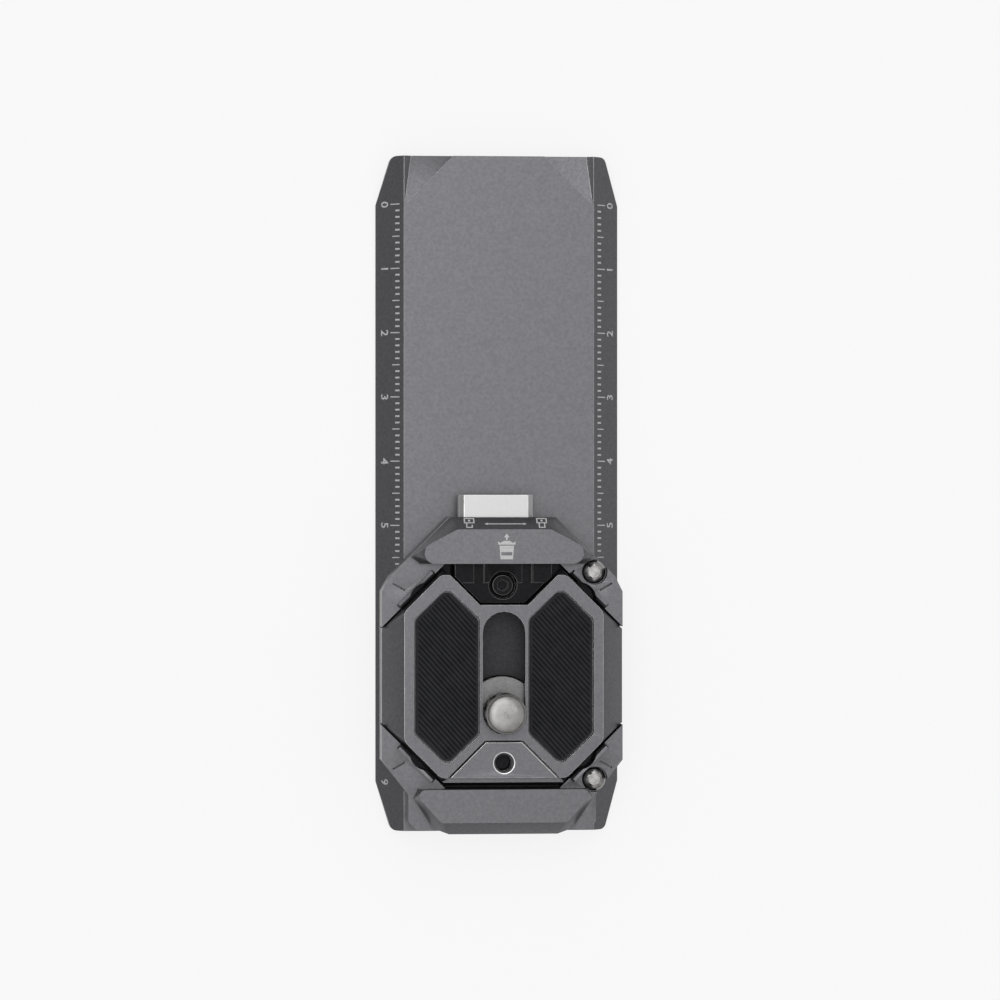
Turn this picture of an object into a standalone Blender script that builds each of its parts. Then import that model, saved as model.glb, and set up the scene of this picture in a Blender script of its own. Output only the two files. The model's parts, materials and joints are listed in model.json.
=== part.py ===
"""A 38 mm dovetail slide rail with a quick-release receiver bolted to its rear half.

An octagonal camera plate with two rubber pads and a captive camera screw sits in the receiver.
A release button in the receiver's front wall draws the latch out of the plate's notch through a
rocker, and slides sideways to lock. Metres, +Z up, the rail lying along Y with its rear at -Y.
Plan outlines of the receiver and the plate are measured from the seat's centre.
"""

import math

import bmesh
import bpy
from mathutils import Matrix, Vector

# Clearances
GAP = 0.0003            # between faces that rest on or beside each other
CUT_PAST = 0.002        # how far a cutter runs out past an open edge
FIT = 0.0002            # round a pin, a screw or a sliding piece

# Rail
DOVETAIL_WIDTH = 0.038
RAIL_LENGTH = 0.105
RAIL_HEIGHT = 0.005
RAIL_LAND = 0.00085     # upright edge under the 45 degree flank
RAIL_TAPER_RUN = 0.0075
RAIL_TAPER_INSET = 0.0023
RAIL_NOSE_RADIUS = 0.001
RAIL_CORNER_RUN = 0.008
RAIL_CORNER_DEPTH = 0.0005
RAIL_EDGE_BANK = 0.0012        # width of the bank beside each relieved corner, at the end
RAIL_BORE_FLOOR = 0.0015       # rail left under the corner screws

# Camera plate
PLATE_SIDE_GAP = 0.00035    # how far the plate's edge stands in from the rail's edge
PLATE_LENGTH = 0.0338
PLATE_FRONT_FLAT = 0.01796  # the straight front edge, between the corner cuts
PLATE_HEIGHT = 0.0062
PLATE_LAND = 0.0029
PLATE_END_DRAFT = 0.0013
PLATE_CORNER_DRAFT = 0.0004
PLATE_CORNER_RADIUS = 0.0016
NOTCH_DEPTH = 0.0059
NOTCH_NARROW_WIDTH = 0.0074
PAD_RIM = 0.0022            # from the rim's front edge to a pad's point
PAD_WIDTH = 0.0096
PAD_SLOT_RIM = 0.0007       # metal left between the slot and a pad
PAD_SHOULDER = 0.0047
PAD_RECESS = 0.001
PAD_PROUD = 0.0003
PAD_CORNER_RADIUS = 0.0011
SCREW_THREAD_RADIUS = 0.0031
SCREW_REAR_STOP = 0.0056    # screw centre behind the seat's centre at the rear stop
SLOT_END_WALL = 0.001       # between the screw slot and the latch notch
HEAD_END_WALL = 0.0006      # between the head's pocket and the latch notch
SCREW_NECK_DEPTH = 0.0006   # how far the neck is turned down inside the thread
SCREW_NECK_LENGTH = 0.0027
SCREW_HEAD_RADIUS = 0.0057
SCREW_HEAD_HEIGHT = 0.0023
SCREW_PROJECTION = 0.0043
SCREW_SLOT_WIDTH = 0.0012
SCREW_SLOT_DEPTH = 0.001
SCREW_TIP_CROWN = 0.0001
RETAINER_THICKNESS = 0.0005
INSERT_FRONT_WIDTH = 0.0056
INSERT_LENGTH = 0.0055
INSERT_HOLE_RADIUS = 0.0013
INSERT_HOLE_BEVEL = 0.0006
INSERT_HOLE_Y = 0.0023      # hole centre ahead of the rim's rear edge

# Receiver
RECEIVER_HEIGHT = 0.0089
FLOOR_THICKNESS = 0.0018
CORNER_HEIGHT = 0.0057
BAR_GAP = 0.00045
SEAT_GAP = 0.00025
CORNER_WIDTH = 0.00468
LIP_WIDTH = 0.0008
LIP_LENGTH = 0.0076
LIP_RISE = 0.0013
LIP_RELIEF_RADIUS = 0.0027
LIP_RELIEF_CHORD = 0.0038
LIP_BEVEL = 0.00036
LIP_ROOT = 0.001            # how deep a lip starts inside its corner block
BAR_CHAMFER = 0.00185
BAR_LIFT = 0.001            # underside of the rear bar's overhang above the receiver's
BAR_HALF_SPREAD = 0.0132
BAR_SIDE_DRAFT = 0.0004
FRONT_BAR_FLARE = 0.001
FRONT_BEAN_CORNER = 0.0021
FRONT_BEAN_INSET = 0.0018
FRONT_BEAN_RADIUS = 0.0015
REAR_BAR_FLARE = 0.0006
REAR_BAR_SHOULDER = 0.0015
REAR_BEAN_CORNER = 0.0012
REAR_BEAN_INSET = 0.0035
REAR_BEAN_RADIUS = 0.0009
REAR_FLAT_HALF = 0.0084
REAR_STEP = 0.0006          # rear blocks stand back from the bar's rear face
REAR_STEP_RUN = 0.0024
CORNER_EASE = 0.0012
FRONT_WALL = 0.0011
ROOF_THICKNESS = 0.0016
REAR_BAR_DEPTH = 0.00695
REAR_BLOCK_HALF_WIDTH = 0.0145
SIDE_SLIT_WIDTH = 0.0003
SIDE_SLIT_LENGTH = 0.0022
SIDE_SLIT_DEPTH = 0.0012
SLIT_FROM_SIDE = 0.0026
SLIT_FROM_BAR = 0.0036
SLIT_SLOPE = math.radians(30)

# Button, lock and latch
BUTTON_WIDTH = 0.0115
BUTTON_HEIGHT = 0.0039
BUTTON_CHAMFER = 0.00075
BUTTON_PROJECTION = 0.0035
BUTTON_LIFT = 0.0024        # button's underside above the receiver's underside
PRESS_TRAVEL = 0.001
LOCK_TRAVEL = 0.0021
SHUTTLE_THICKNESS = 0.0006
SHUTTLE_LIFT = 0.0005       # shuttle's lower edge above the button's underside
STEM_WIDTH = 0.0056
STEM_HEIGHT = 0.0011
CLIP_THICKNESS = 0.0003
CLIP_LEG = 0.0005
CLIP_BRIDGE = 0.0004
CLIP_SETBACK = 0.0003       # clip's rear face ahead of the stem's end
ROCKER_ARM = 0.00225
ROCKER_TIP = 0.0004         # from the contact height to the rocker's end
ROCKER_WIDTH = 0.0028
ROCKER_THICKNESS = 0.0011
ROCKER_HUB = 0.0017
PIN_RADIUS = 0.00045
LUG_THICKNESS = 0.001
COVER_THICKNESS = 0.0006
COVER_MARGIN = 0.0004
COVER_EDGE_WALL = 0.0007    # receiver metal left outside the cover at the front corners
COVER_REAR_OVERLAP = 0.0018
POCKET_REAR_OVERLAP = 0.0008
POCKET_SPRING_SIDE = 0.0035
PIN_OVERHANG = 0.0003
SLIDE_THICKNESS = 0.001
SLIDE_HALF_WIDTH = 0.0074
SLIDE_NOSE_LENGTH = 0.001   # metal ahead of the rocker's window
SLIDE_SHOULDER = 0.0018     # slide's full width reaches this far ahead of the spring tabs
SLIDE_SIDE_BAR = 0.0021     # metal beside the lugs' window
SLIDE_REAR_INSET = 0.0005
SLIDE_CORNER_CUT = 0.0015
LATCH_UNDER_ROOF = 0.00075  # how far the wedge reaches under the front bar
WEDGE_HEIGHT = 0.005
WEDGE_STEP = 0.001
WEDGE_SIDE_INSET = 0.0021   # the wedge's sides inside the notch's wide mouth
WEDGE_SHOULDER = 0.0016     # how far behind the plate's edge the wedge starts to narrow
WEDGE_BOSS_DEPTH = 0.0034   # from the notch's narrow end to the raised bosses
WEDGE_BOSS_HALF = 0.00295
WEDGE_BOSS_GAP = 0.00155
LATCH_SCREW_DEPTH = 0.003   # latch screw ahead of the notch's narrow end
LATCH_SCREW_SEAT = 0.0024
LATCH_SCREW_SHANK_RADIUS = 0.0005
LATCH_SOCKET_RADIUS = 0.0009
LATCH_SCREW_HEAD_RADIUS = 0.00175
SPRING_LENGTH = 0.0045
SPRING_RADIUS = 0.000475
SPRING_WIRE_RADIUS = 0.000125
SPRING_OFFSET = 0.0056
SPRING_TAB_WIDTH = 0.0012
SPRING_TAB_THICKNESS = 0.0006
DETENT_WIRE_RADIUS = 0.0001
DETENT_WELL_WIDTH = 0.002
DETENT_WELL_WALL = 0.0005
BALL_RADIUS = 0.0005
DETENT_X = -0.0062

# Fasteners
CORNER_SCREW_HEAD_RADIUS = 0.0018
CORNER_SCREW_HEAD_HEIGHT = 0.0011
CORNER_SCREW_SHANK_RADIUS = 0.0009
CORNER_SOCKET_DEPTH = 0.0008
CORNER_SCREW_X = 0.0143
HEAD_EDGE = 0.0002          # small chamfer round a screw head
RAIL_SCREW_HEAD_RADIUS = 0.0024
RAIL_SCREW_SHANK_RADIUS = 0.0012
RAIL_SCREW_SOCKET_RADIUS = 0.0011
RAIL_SCREW_SOCKET_DEPTH = 0.0012
RAIL_SCREW_SPREAD = 0.008
RAIL_SCREW_INSET = 0.0006   # front screw nearer the middle than its silver twin
SCREW_TIP_DEPTH = 0.0015    # screw tip under the corner's top face
COVER_SCREW_HEAD_RADIUS = 0.0012
COVER_SCREW_SHANK_RADIUS = 0.0006
COVER_SCREW_MARGIN = 0.0006
COVER_SCREW_SETBACK = 0.0043
COVER_SCREW_RIM = 0.0001    # upright rim of the countersunk head
HEAD_RECESS = 0.0003

# Levels above the rail's underside
RECEIVER_BASE = RAIL_HEIGHT + GAP
FLOOR_TOP = RECEIVER_BASE + FLOOR_THICKNESS
RECEIVER_TOP = RECEIVER_BASE + RECEIVER_HEIGHT
CORNER_TOP = RECEIVER_BASE + CORNER_HEIGHT
BAR_BASE = RECEIVER_BASE + BAR_LIFT
ROOF_UNDERSIDE = RECEIVER_TOP - ROOF_THICKNESS
COVER_TOP = RECEIVER_BASE + COVER_THICKNESS
SLIDE_BASE = COVER_TOP + FIT
SLIDE_TOP = SLIDE_BASE + SLIDE_THICKNESS
WEDGE_BASE = SLIDE_TOP + FIT
WEDGE_TOP = WEDGE_BASE + WEDGE_HEIGHT
PLATE_BASE = FLOOR_TOP + GAP
PLATE_TOP = PLATE_BASE + PLATE_HEIGHT
HEAD_SLOT_TOP = PLATE_BASE + SCREW_HEAD_HEIGHT + RETAINER_THICKNESS + 3 * GAP + FIT
INSERT_BASE = HEAD_SLOT_TOP + 2 * GAP
BUTTON_BASE = RECEIVER_BASE + BUTTON_LIFT
BUTTON_TOP = BUTTON_BASE + BUTTON_HEIGHT
SHUTTLE_BASE = BUTTON_BASE + SHUTTLE_LIFT
PIN_LEVEL = SLIDE_BASE + SLIDE_THICKNESS / 2 + ROCKER_ARM
STEM_LEVEL = PIN_LEVEL + ROCKER_ARM - STEM_HEIGHT / 2

# Plan distances from the seat's centre
HALF_WIDTH = DOVETAIL_WIDTH / 2 - PLATE_SIDE_GAP
HALF_LENGTH = PLATE_LENGTH / 2
PLATE_CUT = PLATE_FRONT_FLAT / 2 + HALF_LENGTH          # x + y along the plate's corner cut
SEAT_CUT = PLATE_CUT + SEAT_GAP * math.sqrt(2)
OUTER_CUT = SEAT_CUT + CORNER_WIDTH * math.sqrt(2)
BAR_FACE = HALF_LENGTH + BAR_GAP
ROCKER_SWING = math.asin(PRESS_TRAVEL / 2 / ROCKER_ARM)
LATCH_REAR = BAR_FACE + LATCH_UNDER_ROOF                          # back of the latch wedge under the roof
ROCKER_REACH = (ROCKER_ARM + ROCKER_TIP) * math.sin(ROCKER_SWING) + ROCKER_THICKNESS / 2
PIN_Y = LATCH_REAR + PRESS_TRAVEL + FIT + ROCKER_REACH
STEM_END = PIN_Y + PRESS_TRAVEL / 2 + ROCKER_THICKNESS / 2 + GAP
CLIP_REAR = STEM_END + CLIP_SETBACK
SHUTTLE_REAR = CLIP_REAR + CLIP_THICKNESS + FIT
SHUTTLE_FRONT = SHUTTLE_REAR + SHUTTLE_THICKNESS
WALL_INSIDE = SHUTTLE_FRONT + FIT
FRONT_FACE = WALL_INSIDE + FRONT_WALL
REAR_FACE = -(BAR_FACE + REAR_BAR_DEPTH)
SEAT_Y = -RAIL_LENGTH / 2 - REAR_FACE
INNER_CUT = OUTER_CUT - FRONT_WALL * math.sqrt(2)
SHUTTLE_HALF = INNER_CUT - SHUTTLE_FRONT - LOCK_TRAVEL / 2 - FIT
BUTTON_X = -LOCK_TRAVEL / 2
NARROW_Y = HALF_LENGTH - NOTCH_DEPTH                      # narrow inner end of the latch notch
SLOT_HALF_WIDTH = SCREW_THREAD_RADIUS + FIT
HEAD_POCKET_RADIUS = SCREW_HEAD_RADIUS + GAP
SCREW_Y = -SCREW_REAR_STOP
SLOT_FRONT = NARROW_Y - SLOT_END_WALL - SLOT_HALF_WIDTH
HEAD_POCKET_FRONT = NARROW_Y - HEAD_END_WALL - HEAD_POCKET_RADIUS
RIM_RUN = PLATE_HEIGHT - PLATE_LAND
PAD_INNER = SLOT_HALF_WIDTH + PAD_SLOT_RIM
CORNER_SCREW_CUT = SEAT_CUT + (LIP_WIDTH + CORNER_SCREW_HEAD_RADIUS + GAP) * math.sqrt(2)
SEAT = Vector((0, SEAT_Y, 0))
ORIGIN = Vector((0, 0, 0))

ROUND_SEGMENTS = 28
PIN_SEGMENTS = 16
WELD = 0.000001
FLAT_ANGLE = 0.001      # radians; faces closer than this are one face
AXIS_SIZE = 0.004
AXIS_TURN = {
    "X": Matrix(((0, 0, 1), (1, 0, 0), (0, 1, 0))).to_4x4(),
    "Y": Matrix(((1, 0, 0), (0, 0, -1), (0, 1, 0))).to_4x4(),
    "Z": Matrix.Identity(4),
}


# ---------------------------------------------------------------- scene and materials

def reset_scene():
    for obj in list(bpy.data.objects):
        bpy.data.objects.remove(obj, do_unlink=True)


def new_collection(name):
    collection = bpy.data.collections.new(name)
    bpy.context.scene.collection.children.link(collection)
    return collection


def new_material(name, colour, roughness, metallic):
    material = bpy.data.materials.new(name)
    material.use_nodes = True
    shader = material.node_tree.nodes["Principled BSDF"]
    shader.inputs["Base Color"].default_value = (*colour, 1)
    shader.inputs["Roughness"].default_value = roughness
    shader.inputs["Metallic"].default_value = metallic
    return material


reset_scene()
PARTS = new_collection("camera_slide_rail")
CUTTERS = new_collection("cutters")
ANODISED = new_material("grey_anodised", (0.17, 0.17, 0.19), 0.42, 0.6)
BLACK_STEEL = new_material("black_steel", (0.025, 0.025, 0.028), 0.4, 0.7)
STAINLESS = new_material("stainless", (0.6, 0.6, 0.6), 0.25, 1.0)
SILVER = new_material("satin_silver", (0.75, 0.75, 0.75), 0.35, 0.9)
SPRING_STEEL = new_material("spring_steel", (0.5, 0.5, 0.5), 0.3, 1.0)
RUBBER = new_material("rubber", (0.02, 0.02, 0.022), 0.85, 0.0)


# ---------------------------------------------------------------- outlines

def mirrored(points):
    """Close a right-hand outline, given front to back, with its left-hand image."""
    return points + [(-x, y) for x, y in reversed(points)]


def rounded(points, radius, steps=3):
    """Replace each corner of an outline by an arc of the given radius."""
    result = []
    for i, corner in enumerate(points):
        here = Vector(corner)
        back = (Vector(points[i - 1]) - here).normalized()
        ahead = (Vector(points[(i + 1) % len(points)]) - here).normalized()
        half = back.angle(ahead) / 2
        centre = here + (back + ahead).normalized() * radius / math.sin(half)
        start = here + back * radius / math.tan(half) - centre
        end = here + ahead * radius / math.tan(half) - centre
        for k in range(steps + 1):
            spoke = (start.lerp(end, k / steps)).normalized() * radius
            result.append(tuple(centre + spoke))
    return result


def box_outline(x0, x1, y0, y1):
    return [(x0, y0), (x1, y0), (x1, y1), (x0, y1)]


def oblong(half_width, y_rear, y_front, steps=10):
    """A slot outline whose end arcs are centred at y_rear and y_front."""
    points = []
    for centre, turn in ((y_front, 0), (y_rear, math.pi)):
        for k in range(steps + 1):
            angle = turn + math.pi * k / steps
            points.append((half_width * math.cos(angle), centre + half_width * math.sin(angle)))
    return points


def cut_octagon(half_x, half_y, cut):
    """Octagon whose corners lie on the 45 degree lines x + y = cut."""
    front = [(cut - half_y, half_y), (half_x, cut - half_x)]
    back = [(x, -y) for x, y in reversed(front)]
    return mirrored(front + back)


# ---------------------------------------------------------------- solids

def add_part(name, mesh, material, collection=PARTS):
    obj = bpy.data.objects.new(name, mesh)
    collection.objects.link(obj)
    obj.data.materials.clear()
    obj.data.materials.append(material)
    return obj


def extruded(name, outline, low, high, material=ANODISED, at=SEAT, axis="Z", collection=PARTS):
    """A flat outline extruded from low to high along an axis; it is turned into a welded mesh."""
    curve = bpy.data.curves.new(name, "CURVE")
    curve.dimensions = "2D"
    curve.fill_mode = "BOTH"
    curve.extrude = (high - low) / 2
    spline = curve.splines.new("POLY")
    spline.points.add(len(outline) - 1)
    for point, (u, v) in zip(spline.points, outline):
        point.co = (u, v, 0, 1)
    spline.use_cyclic_u = True
    guide = bpy.data.objects.new(name + "_outline", curve)
    PARTS.objects.link(guide)
    middle = (low + high) / 2
    shift = {"X": (middle, 0, 0), "Y": (0, middle, 0), "Z": (0, 0, middle)}[axis]
    guide.matrix_world = Matrix.Translation(Vector(shift) + at) @ AXIS_TURN[axis]
    return curve_to_part(guide, name, material, collection)


def curve_to_part(guide, name, material, collection=PARTS):
    bpy.context.view_layer.update()
    evaluated = guide.evaluated_get(bpy.context.evaluated_depsgraph_get())
    mesh = bpy.data.meshes.new_from_object(evaluated)
    shape = bmesh.new()
    shape.from_mesh(mesh)
    bmesh.ops.remove_doubles(shape, verts=shape.verts, dist=WELD)
    bmesh.ops.recalc_face_normals(shape, faces=shape.faces)
    shape.to_mesh(mesh)
    shape.free()
    part = add_part(name, mesh, material, collection)
    part.matrix_world = guide.matrix_world
    bpy.data.objects.remove(guide, do_unlink=True)
    return part


def hull(name, sections, material=ANODISED, at=SEAT, collection=PARTS):
    """The convex solid through several (outline, level) sections."""
    shape = bmesh.new()
    for outline, level in sections:
        for x, y in outline:
            shape.verts.new((x, y, level))
    made = bmesh.ops.convex_hull(shape, input=shape.verts)
    loose = [v for v in made["geom_interior"] if isinstance(v, bmesh.types.BMVert)]
    bmesh.ops.delete(shape, geom=loose, context="VERTS")
    bmesh.ops.dissolve_limit(shape, angle_limit=FLAT_ANGLE, verts=shape.verts, edges=shape.edges)
    bmesh.ops.recalc_face_normals(shape, faces=shape.faces)
    mesh = bpy.data.meshes.new(name)
    shape.to_mesh(mesh)
    shape.free()
    part = add_part(name, mesh, material, collection)
    part.location = at
    return part


def turned(name, profile, at, material, segments=ROUND_SEGMENTS, collection=PARTS):
    """A (radius, level) profile, listed from the top down, turned about Z."""
    mesh = bpy.data.meshes.new(name)
    points = [(radius, 0, level) for radius, level in profile]
    mesh.from_pydata(points, [(i, i + 1) for i in range(len(points) - 1)], [])
    part = add_part(name, mesh, material, collection)
    part.location = at
    screw = part.modifiers.new("turn", "SCREW")
    screw.axis = "Z"
    screw.steps = segments
    screw.render_steps = segments
    screw.use_merge_vertices = True
    screw.merge_threshold = WELD
    return part


def rod(name, radius, low, high, at, material, axis="Z", segments=PIN_SEGMENTS, collection=PARTS):
    shape = bmesh.new()
    bmesh.ops.create_cone(shape, cap_ends=True, segments=segments, radius1=radius,
                          radius2=radius, depth=high - low)
    mesh = bpy.data.meshes.new(name)
    shape.to_mesh(mesh)
    shape.free()
    part = add_part(name, mesh, material, collection)
    middle = (low + high) / 2
    shift = {"X": (middle, 0, 0), "Y": (0, middle, 0), "Z": (0, 0, middle)}[axis]
    part.matrix_world = Matrix.Translation(Vector(shift) + at) @ AXIS_TURN[axis]
    return part


def boolean(target, tool, operation):
    bpy.context.view_layer.update()
    tool.hide_render = True
    tool.display_type = "WIRE"
    modifier = target.modifiers.new(operation.lower() + "_" + tool.name, "BOOLEAN")
    modifier.operation = operation
    modifier.solver = "EXACT"
    modifier.object = tool


def cut_prism(target, label, outline, low, high, at=SEAT, axis="Z"):
    name = target.name + "_" + label
    boolean(target, extruded(name, outline, low, high, BLACK_STEEL, at, axis, CUTTERS), "DIFFERENCE")


def cut_rod(target, label, radius, low, high, at, axis="Z", segments=PIN_SEGMENTS):
    name = target.name + "_" + label
    tool = rod(name, radius, low, high, at, BLACK_STEEL, axis, segments, CUTTERS)
    boolean(target, tool, "DIFFERENCE")


def cut_turned(target, label, profile, at, segments=PIN_SEGMENTS):
    name = target.name + "_" + label
    boolean(target, turned(name, profile, at, BLACK_STEEL, segments, CUTTERS), "DIFFERENCE")


def add_prism(target, label, outline, low, high, at=SEAT, axis="Z"):
    name = target.name + "_" + label
    boolean(target, extruded(name, outline, low, high, ANODISED, at, axis, CUTTERS), "UNION")


def at_seat(x, y, z=0.0):
    return Vector((x, SEAT_Y + y, z))


# ---------------------------------------------------------------- rail

def rail_plan(inset_by=0.0):
    """Half outline of the rail seen from above, with its tapered and rounded ends."""
    half = DOVETAIL_WIDTH / 2 - inset_by
    end = RAIL_LENGTH / 2
    nose = half - RAIL_TAPER_INSET
    front = [(nose, end), (half, end - RAIL_TAPER_RUN)]
    back = [(x, -y) for x, y in reversed(front)]
    return mirrored(front + back)


def corner_relief(side, top_half, end):
    """Sections of a front corner's relief: a triangle with a sloping bank on its outer side."""
    inner = (side * (top_half - RAIL_CORNER_RUN), end)
    tail = (side * (top_half - FIT / 2), end - RAIL_CORNER_RUN)
    foot = (side * (top_half - RAIL_EDGE_BANK), end)
    crest = (side * (top_half - FIT / 2), end)
    return [([inner, tail, foot], RAIL_HEIGHT - RAIL_CORNER_DEPTH),
            ([inner, tail, crest], RAIL_HEIGHT),
            ([inner, tail, crest], RAIL_HEIGHT + GAP)]


def make_rail():
    half = DOVETAIL_WIDTH / 2
    top_half = half - (RAIL_HEIGHT - RAIL_LAND)
    section = [(half, 0), (half, RAIL_LAND), (top_half, RAIL_HEIGHT)]
    section += [(-x, z) for x, z in reversed(section)]
    end = RAIL_LENGTH / 2
    rail = extruded("rail", section, -end, end, at=ORIGIN, axis="Y")
    plan = rounded(rail_plan(), RAIL_NOSE_RADIUS)
    keep = extruded("rail_plan", plan, -RAIL_LAND, RAIL_HEIGHT * 2, at=ORIGIN, collection=CUTTERS)
    boolean(rail, keep, "INTERSECT")
    for side, word in ((1, "right"), (-1, "left")):
        cutter = hull("corner_" + word, corner_relief(side, top_half, end + GAP), at=ORIGIN,
                      collection=CUTTERS)
        boolean(rail, cutter, "DIFFERENCE")
    for name, spot in rail_screw_spots():
        profile = countersink_profile(RAIL_SCREW_HEAD_RADIUS + FIT, RAIL_SCREW_SHANK_RADIUS + FIT,
                                      RAIL_HEIGHT + GAP, -GAP, GAP + 2 * HEAD_RECESS)
        cut_turned(rail, name, profile, spot)
    for name, spot in corner_screw_spots():
        cut_rod(rail, name, CORNER_SCREW_SHANK_RADIUS + FIT, RAIL_BORE_FLOOR, RAIL_HEIGHT + GAP,
                spot)
    return rail


# ---------------------------------------------------------------- screws

def countersink_profile(head_radius, shank_radius, top, bottom, straight):
    """Countersunk head at the bottom, shank up to the top."""
    cone = bottom + straight + head_radius - shank_radius
    return [(0, top), (shank_radius, top), (shank_radius, cone),
            (head_radius, bottom + straight), (head_radius, bottom), (0, bottom)]


def rail_screw_spots():
    """Three countersunk screws from under the rail: two in the rear bar, one in a front corner."""
    rear = REAR_FACE + REAR_BAR_DEPTH / 2
    front_left = at_seat(-CORNER_SCREW_X + RAIL_SCREW_INSET, CORNER_SCREW_CUT - CORNER_SCREW_X)
    return [("rail_screw_rear_left", at_seat(-RAIL_SCREW_SPREAD, rear)),
            ("rail_screw_rear_right", at_seat(RAIL_SCREW_SPREAD, rear)),
            ("rail_screw_front_left", front_left)]


def corner_screw_spots():
    """Two button-head screws in the right-hand corners of the receiver."""
    along = CORNER_SCREW_CUT - CORNER_SCREW_X
    return [("corner_screw_front", at_seat(CORNER_SCREW_X, along)),
            ("corner_screw_rear", at_seat(CORNER_SCREW_X, -along))]


def cover_screw_spots():
    return [("cover_screw_left", at_seat(-cover_screw_x(), cover_screw_y())),
            ("cover_screw_right", at_seat(cover_screw_x(), cover_screw_y()))]


def cover_screw_x():
    return SLIDE_HALF_WIDTH + 2 * FIT + COVER_SCREW_HEAD_RADIUS + COVER_SCREW_MARGIN


def cover_screw_y():
    return BAR_FACE - COVER_SCREW_SETBACK


def hex_socket(part, radius, low, high, spot):
    cut_rod(part, "socket", radius, low, high, spot, segments=6)


def make_rail_screws():
    top = CORNER_TOP - SCREW_TIP_DEPTH
    for name, spot in rail_screw_spots():
        profile = countersink_profile(RAIL_SCREW_HEAD_RADIUS, RAIL_SCREW_SHANK_RADIUS, top,
                                      HEAD_RECESS, HEAD_RECESS)
        part = turned(name, profile, spot, BLACK_STEEL, PIN_SEGMENTS)
        hex_socket(part, RAIL_SCREW_SOCKET_RADIUS, 0, HEAD_RECESS + RAIL_SCREW_SOCKET_DEPTH, spot)


def make_corner_screws():
    head_base = CORNER_TOP - CORNER_SCREW_HEAD_HEIGHT - GAP
    head_top = CORNER_TOP - GAP
    for name, spot in corner_screw_spots():
        crown = [(CORNER_SCREW_HEAD_RADIUS * math.sin(angle),
                  head_top - CORNER_SCREW_HEAD_HEIGHT * 0.7 * (1 - math.cos(angle)))
                 for angle in (math.radians(30), math.radians(60), math.radians(90))]
        profile = [(0, head_top)] + crown
        profile += [(CORNER_SCREW_HEAD_RADIUS, head_base), (CORNER_SCREW_SHANK_RADIUS, head_base),
                    (CORNER_SCREW_SHANK_RADIUS, RAIL_BORE_FLOOR + GAP),
                    (0, RAIL_BORE_FLOOR + GAP)]
        part = turned(name, profile, spot, STAINLESS)
        hex_socket(part, CORNER_SCREW_HEAD_RADIUS * 0.5, head_top - CORNER_SOCKET_DEPTH, head_top + GAP, spot)


def make_cover_screws():
    for name, spot in cover_screw_spots():
        profile = countersink_profile(COVER_SCREW_HEAD_RADIUS, COVER_SCREW_SHANK_RADIUS,
                                      FLOOR_TOP - GAP, RECEIVER_BASE, COVER_SCREW_RIM)
        turned(name, profile, spot, BLACK_STEEL, PIN_SEGMENTS)


# ---------------------------------------------------------------- receiver

def front_bar_sections():
    """The front housing: an upright box below, chamfered up to a bean-shaped top face."""
    cut = OUTER_CUT - FIT
    shoulder = cut - FRONT_FACE
    side = BAR_HALF_SPREAD + FRONT_BAR_FLARE
    base = mirrored([(shoulder, FRONT_FACE), (side, cut - side),
                     (BAR_HALF_SPREAD - BAR_SIDE_DRAFT, BAR_FACE)])
    front = FRONT_FACE - BAR_CHAMFER
    bean = mirrored([(shoulder - BAR_CHAMFER / 2, front),
                     (BAR_HALF_SPREAD, BAR_FACE + FRONT_BEAN_CORNER),
                     (BAR_HALF_SPREAD - FRONT_BEAN_INSET, BAR_FACE)])
    return [(base, BAR_BASE), (base, RECEIVER_TOP - BAR_CHAMFER),
            (rounded(bean, FRONT_BEAN_RADIUS), RECEIVER_TOP)]


def rear_bar_sections():
    step = REAR_FACE + REAR_STEP
    base = mirrored([(BAR_HALF_SPREAD, -BAR_FACE),
                     (BAR_HALF_SPREAD + REAR_BAR_FLARE, -BAR_FACE - REAR_BAR_SHOULDER),
                     (REAR_FLAT_HALF + REAR_STEP_RUN, step + GAP), (REAR_FLAT_HALF, REAR_FACE)])
    rear = REAR_FACE + BAR_CHAMFER
    bean = mirrored([(BAR_HALF_SPREAD - BAR_SIDE_DRAFT, -BAR_FACE),
                     (BAR_HALF_SPREAD, -BAR_FACE - REAR_BEAN_CORNER),
                     (BAR_HALF_SPREAD - REAR_BEAN_INSET, rear)])
    return [(base, BAR_BASE), (base, RECEIVER_TOP - BAR_CHAMFER),
            (rounded(bean, REAR_BEAN_RADIUS), RECEIVER_TOP)]


def receiver_outline():
    """Plan of the floor and corner blocks, front right to rear right, then mirrored."""
    rear = REAR_FACE + REAR_STEP
    ease = CORNER_EASE
    right = [(OUTER_CUT - FRONT_FACE, FRONT_FACE),
             (HALF_WIDTH - ease, OUTER_CUT - HALF_WIDTH + ease),
             (HALF_WIDTH, OUTER_CUT - HALF_WIDTH - ease),
             (HALF_WIDTH, HALF_WIDTH - OUTER_CUT + ease),
             (REAR_BLOCK_HALF_WIDTH, REAR_BLOCK_HALF_WIDTH - OUTER_CUT),
             (REAR_BLOCK_HALF_WIDTH, rear + ease),
             (REAR_BLOCK_HALF_WIDTH - ease, rear)]
    return mirrored(right)


def lip_frame(side, end):
    """Directions along and across a corner, and the middle of its seat wall."""
    across = Vector((side, end, 0)).normalized()
    along = Vector((-side, end, 0)).normalized()
    return across, along, across * SEAT_CUT / math.sqrt(2)


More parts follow.
